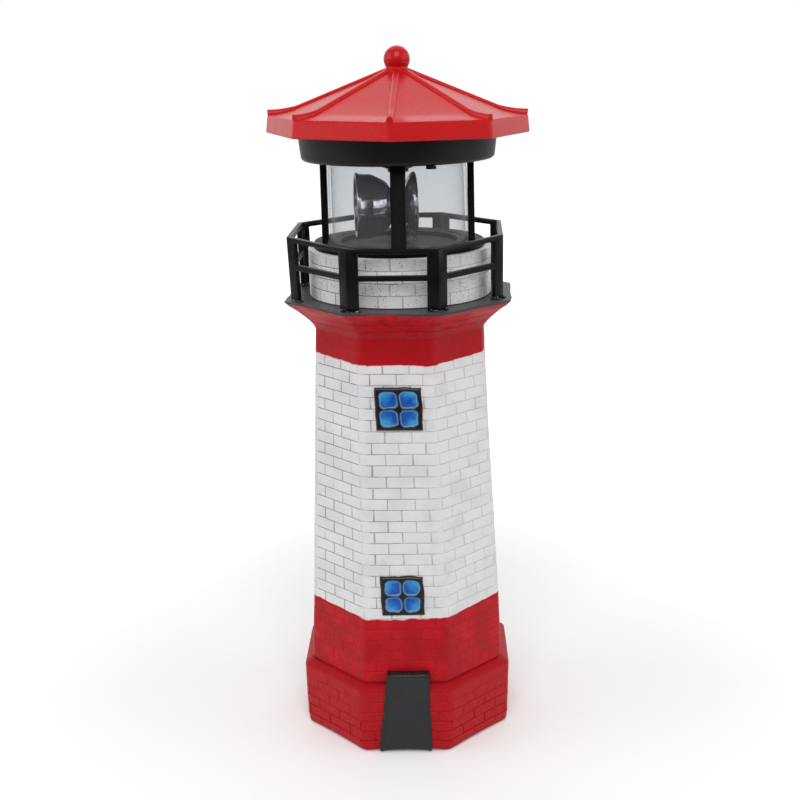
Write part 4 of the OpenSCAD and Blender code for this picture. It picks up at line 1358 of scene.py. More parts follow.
@dataclass
class Tower:
    """The hollow casting: foot, shaft, cove, deck and drum, with its bricks and openings."""

    foot_half: float = 42.7
    plinth_half: float = 43.3
    plinth_top: float = 28.0
    ledge_top: float = 30.3
    shaft_low_half: float = 40.1
    shaft_top_half: float = 33.4
    shaft_top: float = 172.0
    cove_height: float = 10.8
    cove_curve: float = 1.4
    deck_half: float = 44.6
    deck_top: float = 184.2
    drum_radius: float = 36.5
    drum_top: float = 203.4
    socket_radius: float = 31.5
    socket_floor: float = 192.0
    passage_radius: float = 27.0
    wall: float = 5.0
    mortar: float = 0.3
    filled: float = 0.13
    behind: float = 0.02
    corner: float = 4.0
    deck_corner: float = 3.0
    white_low: float = 57.2
    white_top: float = 161.7
    # Windows, the low one first.
    window_sizes: tuple[tuple[float, float], ...] = ((17.1, 16.3), (18.1, 17.0))
    window_shifts: tuple[float, float] = (-1.1, 0.6)
    window_sills: tuple[float, float] = (59.8, 136.2)
    window_bar: float = 1.7
    window_cross: float = 0.9
    window_proud: float = 1.0
    # Wear of the foot: its edge is rounded off and each side arches up in its middle.
    foot_round: float = 0.9
    foot_worn: float = 3.0
    foot_arch: float = 1.3
    foot_side_arch: float = 0.52
    foot_height: float = 14.0
    foot_skin: float = 39.6
    # Door.
    door_height: float = 35.5
    door_lean: float = 0.033
    door_shift: float = -0.33
    door_low_width: float = 21.8
    door_top_width: float = 17.2
    door_proud: float = 0.8
    door_border: float = 1.5

    def shaft_half(self, z: float) -> float:
        """Half width of the shaft at a height."""
        share = (z - self.ledge_top) / (self.shaft_top - self.ledge_top)
        return self.shaft_low_half + (self.shaft_top_half - self.shaft_low_half) * share

    def core(self, material: bpy.types.Material) -> bpy.types.Object:
        """Builds the hollow body behind the bricks.

        Args:
            material: Paint of the joints.

        Returns:
            The piece.
        """
        deep, filled = self.mortar, self.filled
        rings = [
            SidedRing(0.0, self.foot_half - 0.7, self.corner + 2.5),
            SidedRing(0.5, self.foot_half - 0.3, self.corner + 1.5),
            SidedRing(1.4, self.foot_half - filled, self.corner),
        ]
        for rise, inset in ((-0.9, filled), (-0.7, 0.1), (0.1, 0.3)):
            rings.append(
                SidedRing(self.plinth_top + rise, self.plinth_half - inset, self.corner)
            )
        for rise, inset in ((-0.5, -0.5), (-0.2, 0.5), (0.2, 0.6), (0.6, filled)):
            rings.append(
                SidedRing(self.ledge_top + rise, self.shaft_low_half - inset, self.corner)
            )
        for z, inset in (
            (self.white_low - 0.3, filled),
            (self.white_low + 0.3, deep),
            (self.white_top - 0.3, deep),
            (self.white_top + 0.3, filled),
            (self.shaft_top - 0.3, filled),
        ):
            rings.append(SidedRing(z, self.shaft_half(z) - inset, self.corner))
        spread = self.deck_half - self.shaft_top_half
        for step in range(1, 12):
            share = step / 12
            rings.append(
                SidedRing(
                    self.shaft_top + self.cove_height * share,
                    self.shaft_top_half + spread * share**self.cove_curve,
                    self.corner,
                    wave=0.5 * share,
                )
            )
        for drop, inset, wave in (
            (1.1, 0.2, 0.6), (0.7, -0.2, 0.6), (0.35, -0.2, 0.6), (0.1, 0.2, 0.6), (0.0, 1.0, 0.3),
        ):  # fmt: skip
            rings.append(
                SidedRing(
                    self.deck_top - drop, self.deck_half - inset, self.deck_corner, wave=wave
                )
            )
        ceiling = self.shaft_top - self.wall
        for z, radius in (
            (self.deck_top, self.drum_radius - deep),
            (self.drum_top - 0.5, self.drum_radius - deep),
            (self.drum_top - 0.5, self.socket_radius + 0.5),
            (self.drum_top - 0.1, self.socket_radius + 0.4),
            (self.drum_top, self.socket_radius + 0.1),
            (self.drum_top - 0.1, self.socket_radius),
            (self.socket_floor, self.socket_radius),
            (self.socket_floor, self.passage_radius),
            (ceiling, self.passage_radius),
        ):
            rings.append(SidedRing(z, radius, roundness=1.0))
        rings += [
            SidedRing(ceiling, self.shaft_half(ceiling) - self.wall, 1.0),
            SidedRing(self.plinth_top, self.shaft_low_half - self.wall, 1.0),
            SidedRing(0.0, self.foot_half - self.wall, 1.0),
        ]
        loops = [ring.points() for ring in rings]
        return Shape().loft(loops, looped=True).piece("tower_core", material, 32.0)

    def walls(self) -> list[Masonry]:
        """The three runs of bricks on the casting."""
        return [
            Masonry(
                "plinth_bricks", courses=6, per_course=22, base=0.5, top=27.4,
                low_half=self.foot_half - self.behind, high_half=self.plinth_half - self.behind,
                corner=self.corner, seed=3,
            ),
            Masonry(
                "shaft_bricks", courses=31, per_course=22,
                base=self.ledge_top + 0.25, top=self.shaft_top,
                low_half=self.shaft_low_half - self.behind,
                high_half=self.shaft_top_half - self.behind, corner=self.corner,
            ),
            Masonry(
                "drum_bricks", courses=4, per_course=24,
                base=self.deck_top + 0.1, top=self.drum_top - 0.05,
                low_half=self.drum_radius - self.behind, high_half=self.drum_radius - self.behind,
                roundness=1.0, sink=1.9, seed=11,
            ),
        ]  # fmt: skip

    def pane(
        self, size: tuple[float, float], x: float, y: float
    ) -> tuple[float, float, float, float]:
        """Height rule of a window: wobbly bars round four domed panes.

        Args:
            size: The window's width and height.
            x: Place across the window.
            y: Place up the window.

        Returns:
            Height, share of bar, distance inside a pane, and how far out it lies.
        """
        frame_edge, cross = self.window_bar - 0.1, self.window_cross
        wide, tall = size
        pane_w = (wide - 2 * frame_edge - cross) / 2
        pane_h = (tall - 2 * frame_edge - cross) / 2
        shake = noise.noise_vector(Vector((x * 0.35, y * 0.35, wide))) * 0.3
        mid_y = y + shake.y - tall / 2
        px = abs(x + shake.x) - (cross + pane_w) / 2
        py = abs(mid_y) - (cross + pane_h) / 2
        round_off = 1.9
        qx, qy = abs(px) - pane_w / 2 + round_off, abs(py) - pane_h / 2 + round_off
        away = math.hypot(max(qx, 0), max(qy, 0)) + min(max(qx, qy), 0) - round_off
        bar = eased(away, -0.12, 0.15)
        dome = 0.3 * eased(-away, 0.0, 2.2)
        height = self.window_proud - 0.62 * (1 - eased(away, -0.25, 0.4)) + dome
        edge = min(wide / 2 - abs(x), y, tall - y)
        height -= 0.55 * (1 - eased(edge + shake.x * 0.5, -0.1, 0.8))
        outward = abs(x) / wide + abs(mid_y) / tall
        return min(height, self.window_proud), bar, max(0.0, -away), outward

    def leaf(self, x: float, y: float) -> tuple[float, float, float, float]:
        """Height rule of the door: a sunk panel with rounded borders at its sides and head.

        Args:
            x: Place across the door.
            y: Place up the door.

        Returns:
            Height, share of border, and two noughts.
        """
        width = self.door_low_width + (self.door_top_width - self.door_low_width) * (
            y / self.door_height
        )
        shake = noise.noise(Vector((x * 0.3, y * 0.2, 4.0))) * 0.25
        side = width / 2 - abs(x) + shake
        head = self.door_height - y + shake
        edge = min(side, head)
        if side < 2.5 and head < 2.5:
            edge = 2.5 - math.hypot(2.5 - side, 2.5 - head)
        bar = 1 - eased(edge, self.door_border - 0.2, self.door_border + 0.5)
        height = self.door_proud - 0.45 * (1 - bar) - 0.5 * (1 - eased(edge, -0.1, 0.8))
        return min(height, self.door_proud), bar, 0.0, 0.0

    def hung(self, piece: bpy.types.Object, *nodes: str) -> None:
        """Winds a piece as the casting does, wears its foot, and hangs it on the tower.

        Args:
            piece: The piece, built square to the front.
            nodes: CAD nodes that it replaces.
        """
        winding = Winding()
        for vert in piece.data.vertices:
            x, y, z = vert.co / MM
            spoke = math.atan2(x, -y)
            off = off_middle(spoke)
            reach = math.hypot(x, y)
            if z < self.foot_height and reach * math.cos(off) > self.foot_skin:
                worn = max(0.0, 1.0 - z / self.foot_worn) ** 2
                shrunk = 1.0 - self.foot_round * worn / reach
                x, y = x * shrunk, y * shrunk
                arch = self.foot_arch if abs(spoke) < HALF_SIDE else self.foot_side_arch
                along = math.cos(off * math.pi / 2 / HALF_SIDE)
                z += arch * along * (1.0 - z / self.foot_height)
            turn = math.radians(winding.at(z))
            cos, sin = math.cos(turn), math.sin(turn)
            vert.co = Vector((x * cos - y * sin, x * sin + y * cos, z)) * MM
        mount(piece, "tower", "tower", *nodes)

    def build(self) -> None:
        """Builds the tower and hangs it on its body."""
        joints = CastPaint("paint in the joints", mortar=True).material()
        faces = CastPaint("paint on the bricks", mortar=False).material()
        self.hung(self.core(joints), "tower_casting")
        for wall in self.walls():
            self.hung(wall.build(faces))
        enamel = WindowEnamel().material()
        rise = self.shaft_top - self.ledge_top
        lean = math.atan((self.shaft_low_half - self.shaft_top_half) / rise)
        upright = Matrix.Rotation(math.pi / 2 - lean, 4, "X")
        for name, sill, size, shift in zip(
            ("low_window", "high_window"), self.window_sills, self.window_sizes, self.window_shifts
        ):
            place = Matrix.Translation((shift, -self.shaft_half(sill), sill)) @ upright
            block = Relief(size[0], size[0], size[1])
            self.hung(block.build(name, enamel, partial(self.pane, size), place))
        upright = Matrix.Rotation(math.pi / 2, 4, "X")
        aslant = Matrix.Identity(4)
        aslant[0][1] = self.door_lean
        place = Matrix.Translation((self.door_shift, -self.plinth_half, 0)) @ upright @ aslant
        block = Relief(
            self.door_low_width, self.door_top_width, self.door_height, cell=0.4, back=3.6
        )
        self.hung(block.build("door", DoorPaint().material(), self.leaf, place))


@dataclass
class Gallery:
    """The rail on the deck and the glue at its feet."""

    half_width: float = 41.5
    thickness: float = 2.0
    foot_z: float = 184.2
    leg: float = 4.4
    turn: float = -2.5
    shift: float = -0.6
    edge: float = 0.35
    height: float = 23.6
    rear_rise: float = 2.9
    rise_start: float = 2.5
    left_lean: float = 0.9
    drop_size: float = 1.9
    seed: int = 5

    def glue(self) -> bpy.types.Object:
        """Sets a flat drop of glue at each leg of the corner posts.

        Returns:
            The drops as one piece.
        """
        spots = []
        middle = self.half_width - self.thickness / 2
        reach = middle * math.tan(HALF_SIDE) - self.leg / 2
        for side in range(SIDES):
            turn = Matrix.Rotation(side * 2 * HALF_SIDE + math.radians(self.turn), 3, "Z")
            for x in (-reach - 1.2, -reach + 0.8, reach - 0.8, reach + 1.2):
                spot = turn @ Vector((x, -middle, self.foot_z)) + Vector((self.shift, 0, 0))
                spots.append(spot * MM)
        base = bpy.data.meshes.new("glue")
        base.from_pydata(spots, [], [])
        plan = Pattern(
            "glue",
            {
                "Size": ("Float", self.drop_size * MM),
                "Seed": ("Int", self.seed),
                "Material": ("Material", Finish.GLUE.made()),
            },
        )
        ball = plan.get(
            "GeometryNodeMeshIcoSphere", None, {"Radius": plan.given("Size"), "Subdivisions": 3}
        )
        size = plan.join(
            plan.chance(0.6, 1.3, 1), plan.chance(0.6, 1.3, 2), plan.chance(0.3, 1.0, 3)
        )
        drops = plan.get(
            "GeometryNodeInstanceOnPoints",
            None,
            {"Points": plan.given("Geometry"), "Instance": ball, "Scale": size},
        )
        real = plan.get("GeometryNodeRealizeInstances", None, {"Geometry": drops})
        moved = plan.shaken(real, 0.002, plan.given("Size") * 0.25)
        smooth = plan.get("GeometryNodeSetShadeSmooth", None, {"Geometry": moved})
        return plan.baked("glue", smooth, base)

    def build(self) -> None:
        """Builds the rail, which rises a little behind and leans out on its left, and its glue."""
        rail = softened("gallery_rail", "rail", Finish.RAIL.made(), self.edge)
        for vert in rail.data.vertices:
            rise = (vert.co.z / MM - self.foot_z) / self.height
            behind = max(0.0, vert.co.y / MM + self.half_width - self.rise_start)
            share = math.sqrt(behind / (2 * self.half_width))
            vert.co.z += self.rear_rise * share * rise * MM
            vert.co.x -= self.left_lean * eased(-vert.co.x / MM, 15.0, 42.0) * rise * MM
        mount(rail, "tower", "rail")
        mount(self.glue(), "tower", "rail")


# ---------------------------------------------------------------- lantern


@dataclass
class Lantern:
    """Cage, clear tube and collar of the lift-out head."""

    tube_radius: float = 27.8
    tube_wall: float = 1.2
    tube_low: float = 204.6
    tube_top: float = 238.1
    edge: float = 0.35
    draw: float = 1.0
    draw_height: float = 1.6
    post_distance: float = 26.0

    def tube(self) -> bpy.types.Object:
        """Turns the clear tube.

        Returns:
            The piece.
        """
        inner = self.tube_radius - self.tube_wall
        ease = 0.2
        outer, low, top = self.tube_radius, self.tube_low, self.tube_top
        profile = [(inner + ease, low), (outer - ease, low), (outer, low + ease)]
        profile += [(outer, top - ease), (outer - ease, top), (inner + ease, top)]
        profile += [(inner, top - ease), (inner, low + ease)]
        shape = Shape().spin(profile, 128, looped=True)
        return self.drawn_in(shape.piece("tube", ClearPlastic().material(), 30.0))

    def drawn_in(self, piece: bpy.types.Object) -> bpy.types.Object:
        """Draws the right side of a piece in over the flange, where the tube isn't quite round.

        Args:
            piece: The tube or the cage.

        Returns:
            The same piece.
        """
        for vert in piece.data.vertices:
            over = eased(vert.co.z / MM, self.tube_low, self.tube_low + self.draw_height)
            vert.co.x -= self.draw * eased(vert.co.x / MM, 0.0, self.post_distance) * over * MM
        return piece

    def build(self) -> None:
        """Builds the head's housing."""
        black = Finish.BLACK.made()
        cage = softened("lantern_cage", "cage", Finish.CAGE.made(), self.edge)
        mount(self.drawn_in(cage), "lantern", "black_plastic")
        mount(softened("collar_housing", "collar", black, self.edge), "lantern", "black_plastic")
        mount(softened("switch_knob", "knob", black, 0.2), "knob", "black_plastic")
        mount(self.tube(), "lantern", "clear_plastic", "glazing_tube")


@dataclass
class Roof:
    """The red roof: slopes with raised ribs on their hips, a fascia and a ball."""

    apex: float = 272.4
    hip_slope: float = 0.4
    flare_radius: float = 41.0
    flare_rise: float = 2.0
    eave_radius: float = 50.9
    fascia_top: float = 254.0
    fascia_low: float = 247.3
    fascia_draft: float = 0.7
    wall: float = 2.0
    rib_width: float = 2.7
    rib_height: float = 1.0
    rib_end: float = 2.1
    rib_start: float = 4.2
    rib_bend: float = 39.0
    rib_sink: float = 1.08
    sag: float = 0.75
    sag_end: tuple[float, float] = (6.0, 20.0)
    turn: float = -2.5
    ball_radius: float = 5.1
    ball_z: float = 274.9
    locating_radius: float = 39.2
    locating_wall: float = 1.6
    boss_radius: float = 2.7
    boss_distance: float = 33.0
    boss_low: float = 239.3
    boss_top: float = 255.6
    screw_radius: float = 1.2
    panel_gap: float = 0.2

    def hip(self, radius: float) -> float:
        """Height of the roof's surface on a hip, with its flare near the eaves."""
        if radius <= self.flare_radius:
            return self.apex - self.hip_slope * radius
        start = self.apex - self.hip_slope * self.flare_radius
        share = (radius - self.flare_radius) / (self.eave_radius - self.flare_radius)
        return start - self.flare_rise * (1.5 * share - 0.5 * share * share)

    def shell(self, material: bpy.types.Material) -> bpy.types.Object:
        """Builds the slopes and the fascia as one hollow shell with the panels' recesses.

        Args:
            material: The roof's plastic.

        Returns:
            The piece.
        """
        flat = math.cos(HALF_SIDE)
        turn = HALF_SIDE + math.radians(self.turn)
        outside = [(r, self.hip(r)) for r in (1.0, 14.0, 30.0, 41.0, 43.0, 45.5, 48.0, 49.9)]
        outside += [
            (self.eave_radius - 0.35, self.fascia_top + 0.02),
            (self.eave_radius - 0.05, self.fascia_top - 0.35),
            (self.eave_radius + 0.1, self.fascia_top - 1.0),
            (self.eave_radius + self.fascia_draft, self.fascia_low + 0.4),
            (self.eave_radius + self.fascia_draft - 0.3, self.fascia_low),
        ]
        side = self.wall / flat
        drop = self.wall / math.cos(math.atan(self.hip_slope / flat))
        inside = [
            (self.eave_radius + self.fascia_draft - side, self.fascia_low),
            (self.eave_radius - side, self.fascia_top - drop),
            (self.flare_radius, self.hip(self.flare_radius) - drop),
            (1.0, self.hip(1.0) - drop),
        ]
        rings = [
            SidedRing(z, r * flat, min(0.8, r * flat / 2)).points(turn)
            for r, z in reversed(outside + inside)
        ]
        shell = Shape().loft(rings).piece("roof_shell_cast", material, 11.0)
        cutter = self.panel_cutter()
        cut = shell.modifiers.new("recess", "BOOLEAN")
        cut.operation, cut.solver, cut.object = "DIFFERENCE", "EXACT", cutter
        bake(shell)
        bpy.data.objects.remove(cutter)
        shell.data.set_sharp_from_angle(angle=math.radians(11))
        return shell

    def panel_cutter(self) -> bpy.types.Object:
        """Swells the CAD panels a little, to cut their recesses.

        Returns:
            The cutter.
        """
        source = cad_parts["solar_panels"].data
        shape = Shape([tuple(v.co / MM) for v in source.vertices])
        shape.faces = [tuple(p.vertices) for p in source.polygons]
        cutter = shape.piece("panel_cutter", Finish.ROOF.made())
        swell = cutter.modifiers.new("gap", "SOLIDIFY")
        swell.thickness, swell.offset = self.panel_gap * MM, 1.0
        swell.use_even_offset = True
        bake(cutter)
        form = bmesh.new()
        form.from_mesh(cutter.data)
        parts = sorted(connected(form), key=lambda part: max(v.co.z for v in part), reverse=True)
        inner = [vert for part in parts[2:] for vert in part]
        bmesh.ops.delete(form, geom=inner, context="VERTS")
        form.to_mesh(cutter.data)
        form.free()
        return cutter

    def fixings(self) -> bpy.types.Object:
        """Builds the locating ring and the three screw bosses under the roof.

        Returns:
            The piece.
        """
        outer = self.locating_radius + self.locating_wall
        rings = []
        for radius, top in (
            (self.locating_radius, False),
            (outer, False),
            (outer, True),
            (self.locating_radius, True),
        ):
            ring = []
            for step in range(96):
                angle = math.tau * step / 96
                off = (angle - math.radians(self.turn) - math.pi / 2) % (2 * HALF_SIDE) - HALF_SIDE
                slope = self.hip(radius * math.cos(off) / math.cos(HALF_SIDE)) - self.wall / 2
                z = slope if top else self.fascia_low
                ring.append((radius * math.cos(angle), radius * math.sin(angle), z))
            rings.append(ring)
        shape = Shape().loft(rings, looped=True)
        for degrees in (90, 210, 330):
            turn = Matrix.Rotation(math.radians(degrees), 4, "Z")
            place = turn @ Matrix.Translation((self.boss_distance, 0, 0))
            profile = [
                (self.screw_radius, self.boss_low),
                (self.boss_radius, self.boss_low),
                (self.boss_radius, self.boss_top),
                (self.screw_radius, self.boss_top),
            ]
            shape.spin(profile, 32, place, looped=True)
        return shape.piece("roof_fixings", Finish.ROOF.made())

    def ribs(self) -> bpy.types.Object:
        """Runs a rounded rib down each hip, out past the fascia's corner.

        Returns:
            The ribs as one piece.
        """
        base = bpy.data.meshes.new("ribs")
        radii = [self.rib_start + (self.rib_bend - self.rib_start) * i / 10 for i in range(11)]
        radii += [40.5, 42.0, 43.5, 45.0, 46.5, 48.0, 49.2, self.eave_radius - 0.9]
        radii.append(self.eave_radius + 1.1)
        line = [(0.0, -r * MM, (self.ridge(r) - self.rib_height) * MM) for r in radii]
        base.from_pydata(line, [(i, i + 1) for i in range(len(line) - 1)], [])
        plan = Pattern(
            "ribs",
            {
                "Count": ("Int", SIDES),
                "Width": ("Float", self.rib_width * MM),
                "Height": ("Float", self.rib_height * MM),
                "Turn": ("Float", math.radians(self.turn)),
                "Material": ("Material", Finish.ROOF.made()),
            },
        )
        path = plan.get("GeometryNodeMeshToCurve", None, {"Mesh": plan.given("Geometry")})
        path = plan.get("GeometryNodeSetCurveNormal", {"mode": "Z_UP"}, {"Curve": path})
        circle = plan.get(
            "GeometryNodeCurvePrimitiveCircle", None, {"Resolution": 20, "Radius": 0.5}
        )
        scale = plan.join(plan.given("Width"), plan.given("Height") * 2.0, 1.0)
        section = plan.get("GeometryNodeTransform", None, {"Geometry": circle, "Scale": scale})
        rib = plan.get(
            "GeometryNodeCurveToMesh",
            None,
            {"Curve": path, "Profile Curve": section, "Fill Caps": True},
        )
        rib = plan.get("GeometryNodeSetShadeSmooth", None, {"Geometry": rib})
        places = plan.get(
            "GeometryNodeMeshLine", None, {"Count": plan.given("Count"), "Offset": (0.0, 0.0, 0.0)}
        )
        angle = plan.get("GeometryNodeInputIndex") * math.tau / plan.given("Count")
        turn = plan.join(0.0, 0.0, angle + plan.given("Turn"))
        turned = plan.get(
            "GeometryNodeInstanceOnPoints",
            None,
            {"Points": places, "Instance": rib, "Rotation": turn},
        )
        return self.trimmed(plan.baked("ribs", turned, base))

    def ridge(self, radius: float) -> float:
        """Height of a rib's top: along its hip, then nearly level out to the fascia's corner."""
        start = self.hip(min(radius, self.rib_bend)) + 0.9 * self.rib_height
        share = min(1.0, max(0.0, radius - self.rib_bend) / (self.eave_radius - self.rib_bend))
        drop = start - self.fascia_top - self.rib_end
        return start - (drop * (2 * share - share * share) if share else 0.0)

    def trimmed(self, ribs: bpy.types.Object) -> bpy.types.Object:
        """Deepens the ribs' outer ends down to the slopes and cuts them flush with the fascia.

        Args:
            ribs: The ribs as swept.

        Returns:
            The same piece.
        """
        limit = self.eave_radius * math.cos(HALF_SIDE)
        for vert in ribs.data.vertices:
            x, y, z = vert.co / MM
            off = off_middle(math.atan2(x, -y) - math.radians(self.turn))
            reach = math.hypot(x, y)
            along = reach * math.cos(off)
            top = self.ridge(along)
            deep = max(1.0, self.rib_sink * (top - self.hip(min(along, self.eave_radius))))
            z = top - (top - z) * deep
            out = reach * math.cos(HALF_SIDE - abs(off))
            edge = limit - (0.06 if z < self.fascia_top else 0.0)
            fit = min(1.0, edge / out)
            vert.co = Vector((x * fit, y * fit, z)) * MM
        return ribs

    def settled(self, piece: bpy.types.Object) -> bpy.types.Object:
        """Sets a piece down a little on its right, as the roof sits, but not the panels' slopes.

        Args:
            piece: The piece, built level.

        Returns:
            The same piece.
        """
        middle = (self.fascia_low + self.fascia_top) / 2
        for vert in piece.data.vertices:
            swing = math.radians(self.sag) * (1.0 - eased(vert.co.y / MM, *self.sag_end))
            x, z = vert.co.x, vert.co.z - middle * MM
            vert.co.x = x * math.cos(swing) + z * math.sin(swing)
            vert.co.z = z * math.cos(swing) - x * math.sin(swing) + middle * MM
        return piece

    def finial(self, material: bpy.types.Material) -> bpy.types.Object:
        """Turns the ball with its short filleted neck.

        Args:
            material: The roof's plastic.

        Returns:
            The piece.
        """
        ball = arc((0.0, self.ball_z), self.ball_radius, -32.0, 90.0, 24)
        foot = [(0.0, 267.0), (6.6, 267.0), (6.4, 269.6)]
        fillet = [(5.2, 270.2), (4.55, 271.0), (4.35, 271.7)]
        return Shape().spin(foot + fillet + ball, 64).piece("finial", material, 50.0)

    def build(self) -> None:
        """Builds the roof."""
        red = Finish.ROOF.made()
        mount(self.settled(self.shell(red)), "lantern", "roof_plastic", "roof_shell")
        mount(self.fixings(), "lantern", "roof_plastic")
        mount(self.settled(self.ribs()), "lantern", "roof_plastic")
        mount(self.settled(self.finial(red)), "lantern", "roof_plastic")


def connected(form: bmesh.types.BMesh) -> list[list[bmesh.types.BMVert]]:
    """Finds the loose parts of a mesh.

    Args:
        form: The mesh.

    Returns:
        The points of each part.
    """
    seen: set[bmesh.types.BMVert] = set()
    parts = []
    for start in form.verts:
        if start in seen:
            continue
        part, queue = [], [start]
        seen.add(start)
        while queue:
            spot = queue.pop()
            part.append(spot)
            for edge in spot.link_edges:
                other = edge.other_vert(spot)
                if other not in seen:
                    seen.add(other)
                    queue.append(other)
        parts.append(part)
    return parts


@dataclass(frozen=True)
class CupSizes:
    """Sizes of one cup, along the lamp and out from it."""

    neck: float
    reach: float
    mouth: float
    bulge: float
    sleeve: float
    lip: float


@dataclass
class Lamp:
    """The turning lamp: two plated cups on a black hub."""

    height: float = 218.8
    turn: float = 6.0
    hub: float = 7.2
    hub_wall: float = 1.4
    cup_wall: float = 0.8
    lip: float = 1.2
    deep: CupSizes = CupSizes(3.6, 17.2, 12.6, 0.55, 6.0, 0.7)
    shallow: CupSizes = CupSizes(2.8, 6.6, 12.2, 0.45, 1.8, 0.9)
    steps: int = 28

    def cup(self, sizes: CupSizes) -> list[tuple[float, float]]:
        """Profile of a cup with a rolled lip.

        Args:
            sizes: The cup's own sizes.

        Returns:
            The closed profile, out along the back and home along the mirror.
        """
        shoulder = sizes.reach - sizes.sleeve
        back = []
        for step in range(self.steps + 1):
            share = (step / self.steps) ** 1.6
            radius = self.hub + (sizes.mouth - self.hub) * share**sizes.bulge
            back.append((radius, sizes.neck + (shoulder - sizes.neck) * share))
        front = [(r - self.cup_wall, z + self.cup_wall) for r, z in reversed(back)]
        edge, low = sizes.mouth + sizes.lip, sizes.reach - self.lip
        lip = [(sizes.mouth + 0.15, low - 0.5), (sizes.mouth + 0.5, low - 0.1)]
        lip += [(edge - 0.3, low), (edge - 0.05, low + 0.15), (edge, low + 0.4)]
        lip += [(edge, sizes.reach - 0.3), (edge - 0.3, sizes.reach)]
        lip += [(sizes.mouth - self.cup_wall + 0.2, sizes.reach)]
        lip += [(sizes.mouth - self.cup_wall, sizes.reach - 0.2)]
        bore = self.hub - self.hub_wall
        hub = [(bore, sizes.neck + self.cup_wall), (bore, sizes.neck)]
        return back + lip + front + hub

    def build(self) -> None:
        """Builds both cups."""
        plating = MirrorPlating().material()
        place = (
            Matrix.Translation((0, 0, self.height))
            @ Matrix.Rotation(math.radians(self.turn), 4, "Z")
            @ Matrix.Rotation(-math.pi / 2, 4, "Y")
        )
        flipped = place @ Matrix.Scale(-1, 4, (0, 0, 1))
        for name, sizes, where in (
            ("deep_cup", self.deep, place),
            ("shallow_cup", self.shallow, flipped),
        ):
            shape = Shape().spin(self.cup(sizes), 96, where, looped=True)
            cup = shape.piece(name, plating, 50.0)
            mount(cup, "lamp", "mirror_plating", name.replace("cup", "reflector"))


@dataclass
class Works:
    """Parts inside the head that keep their CAD shape and get a finish."""

    finishes: dict[str, Finish] = field(
        default_factory=lambda: {
            "housing_screws": Finish.STEEL,
            "gearbox_base": Finish.WHITE,
            "gearbox_lid": Finish.WHITE,
            "gearbox_screws": Finish.STEEL,
            "motor_can": Finish.MOTOR,
            "motor_pinion": Finish.BRASS,
            "idler_gear": Finish.GEAR,
            "idler_pin": Finish.STEEL,
            "spindle_bush": Finish.BRASS,
            "spindle_gear": Finish.GEAR,
            "lamp_spindle": Finish.BLACK,
            "pivot_pin": Finish.STEEL,
            "led": Finish.LENS,
            "led_stem": Finish.WHITE,
            "battery_holder": Finish.BLACK,
            "battery_contacts": Finish.CONTACT,
            "lead_wires": Finish.LEADS,
            "switch_case": Finish.STEEL,
        }
    )

    @staticmethod
    def dress(node: str, material: bpy.types.Material) -> None:
        """Gives a CAD node a finish in place of its packed one.

        Args:
            node: The CAD node.
            material: The finish.
        """
        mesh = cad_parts[node].data
        mesh.materials.clear()
        mesh.materials.append(material)
        log.info("%s keeps its shape", node)

    def build(self) -> None:
        """Dresses every part that is kept."""
        for node, finish in self.finishes.items():
            self.dress(node, finish.made())
        self.dress("solar_panels", SolarCell().material())
        self.dress("battery_cell", CellJacket().material())
        self.dress("circuit_board", BoardGreen().material())


# ---------------------------------------------------------------- studio


@dataclass(frozen=True)
class Softbox:
    """A square soft light that faces the object, its place and side in metres."""

    name: str
    spot: Point
    side: float
    watts: float


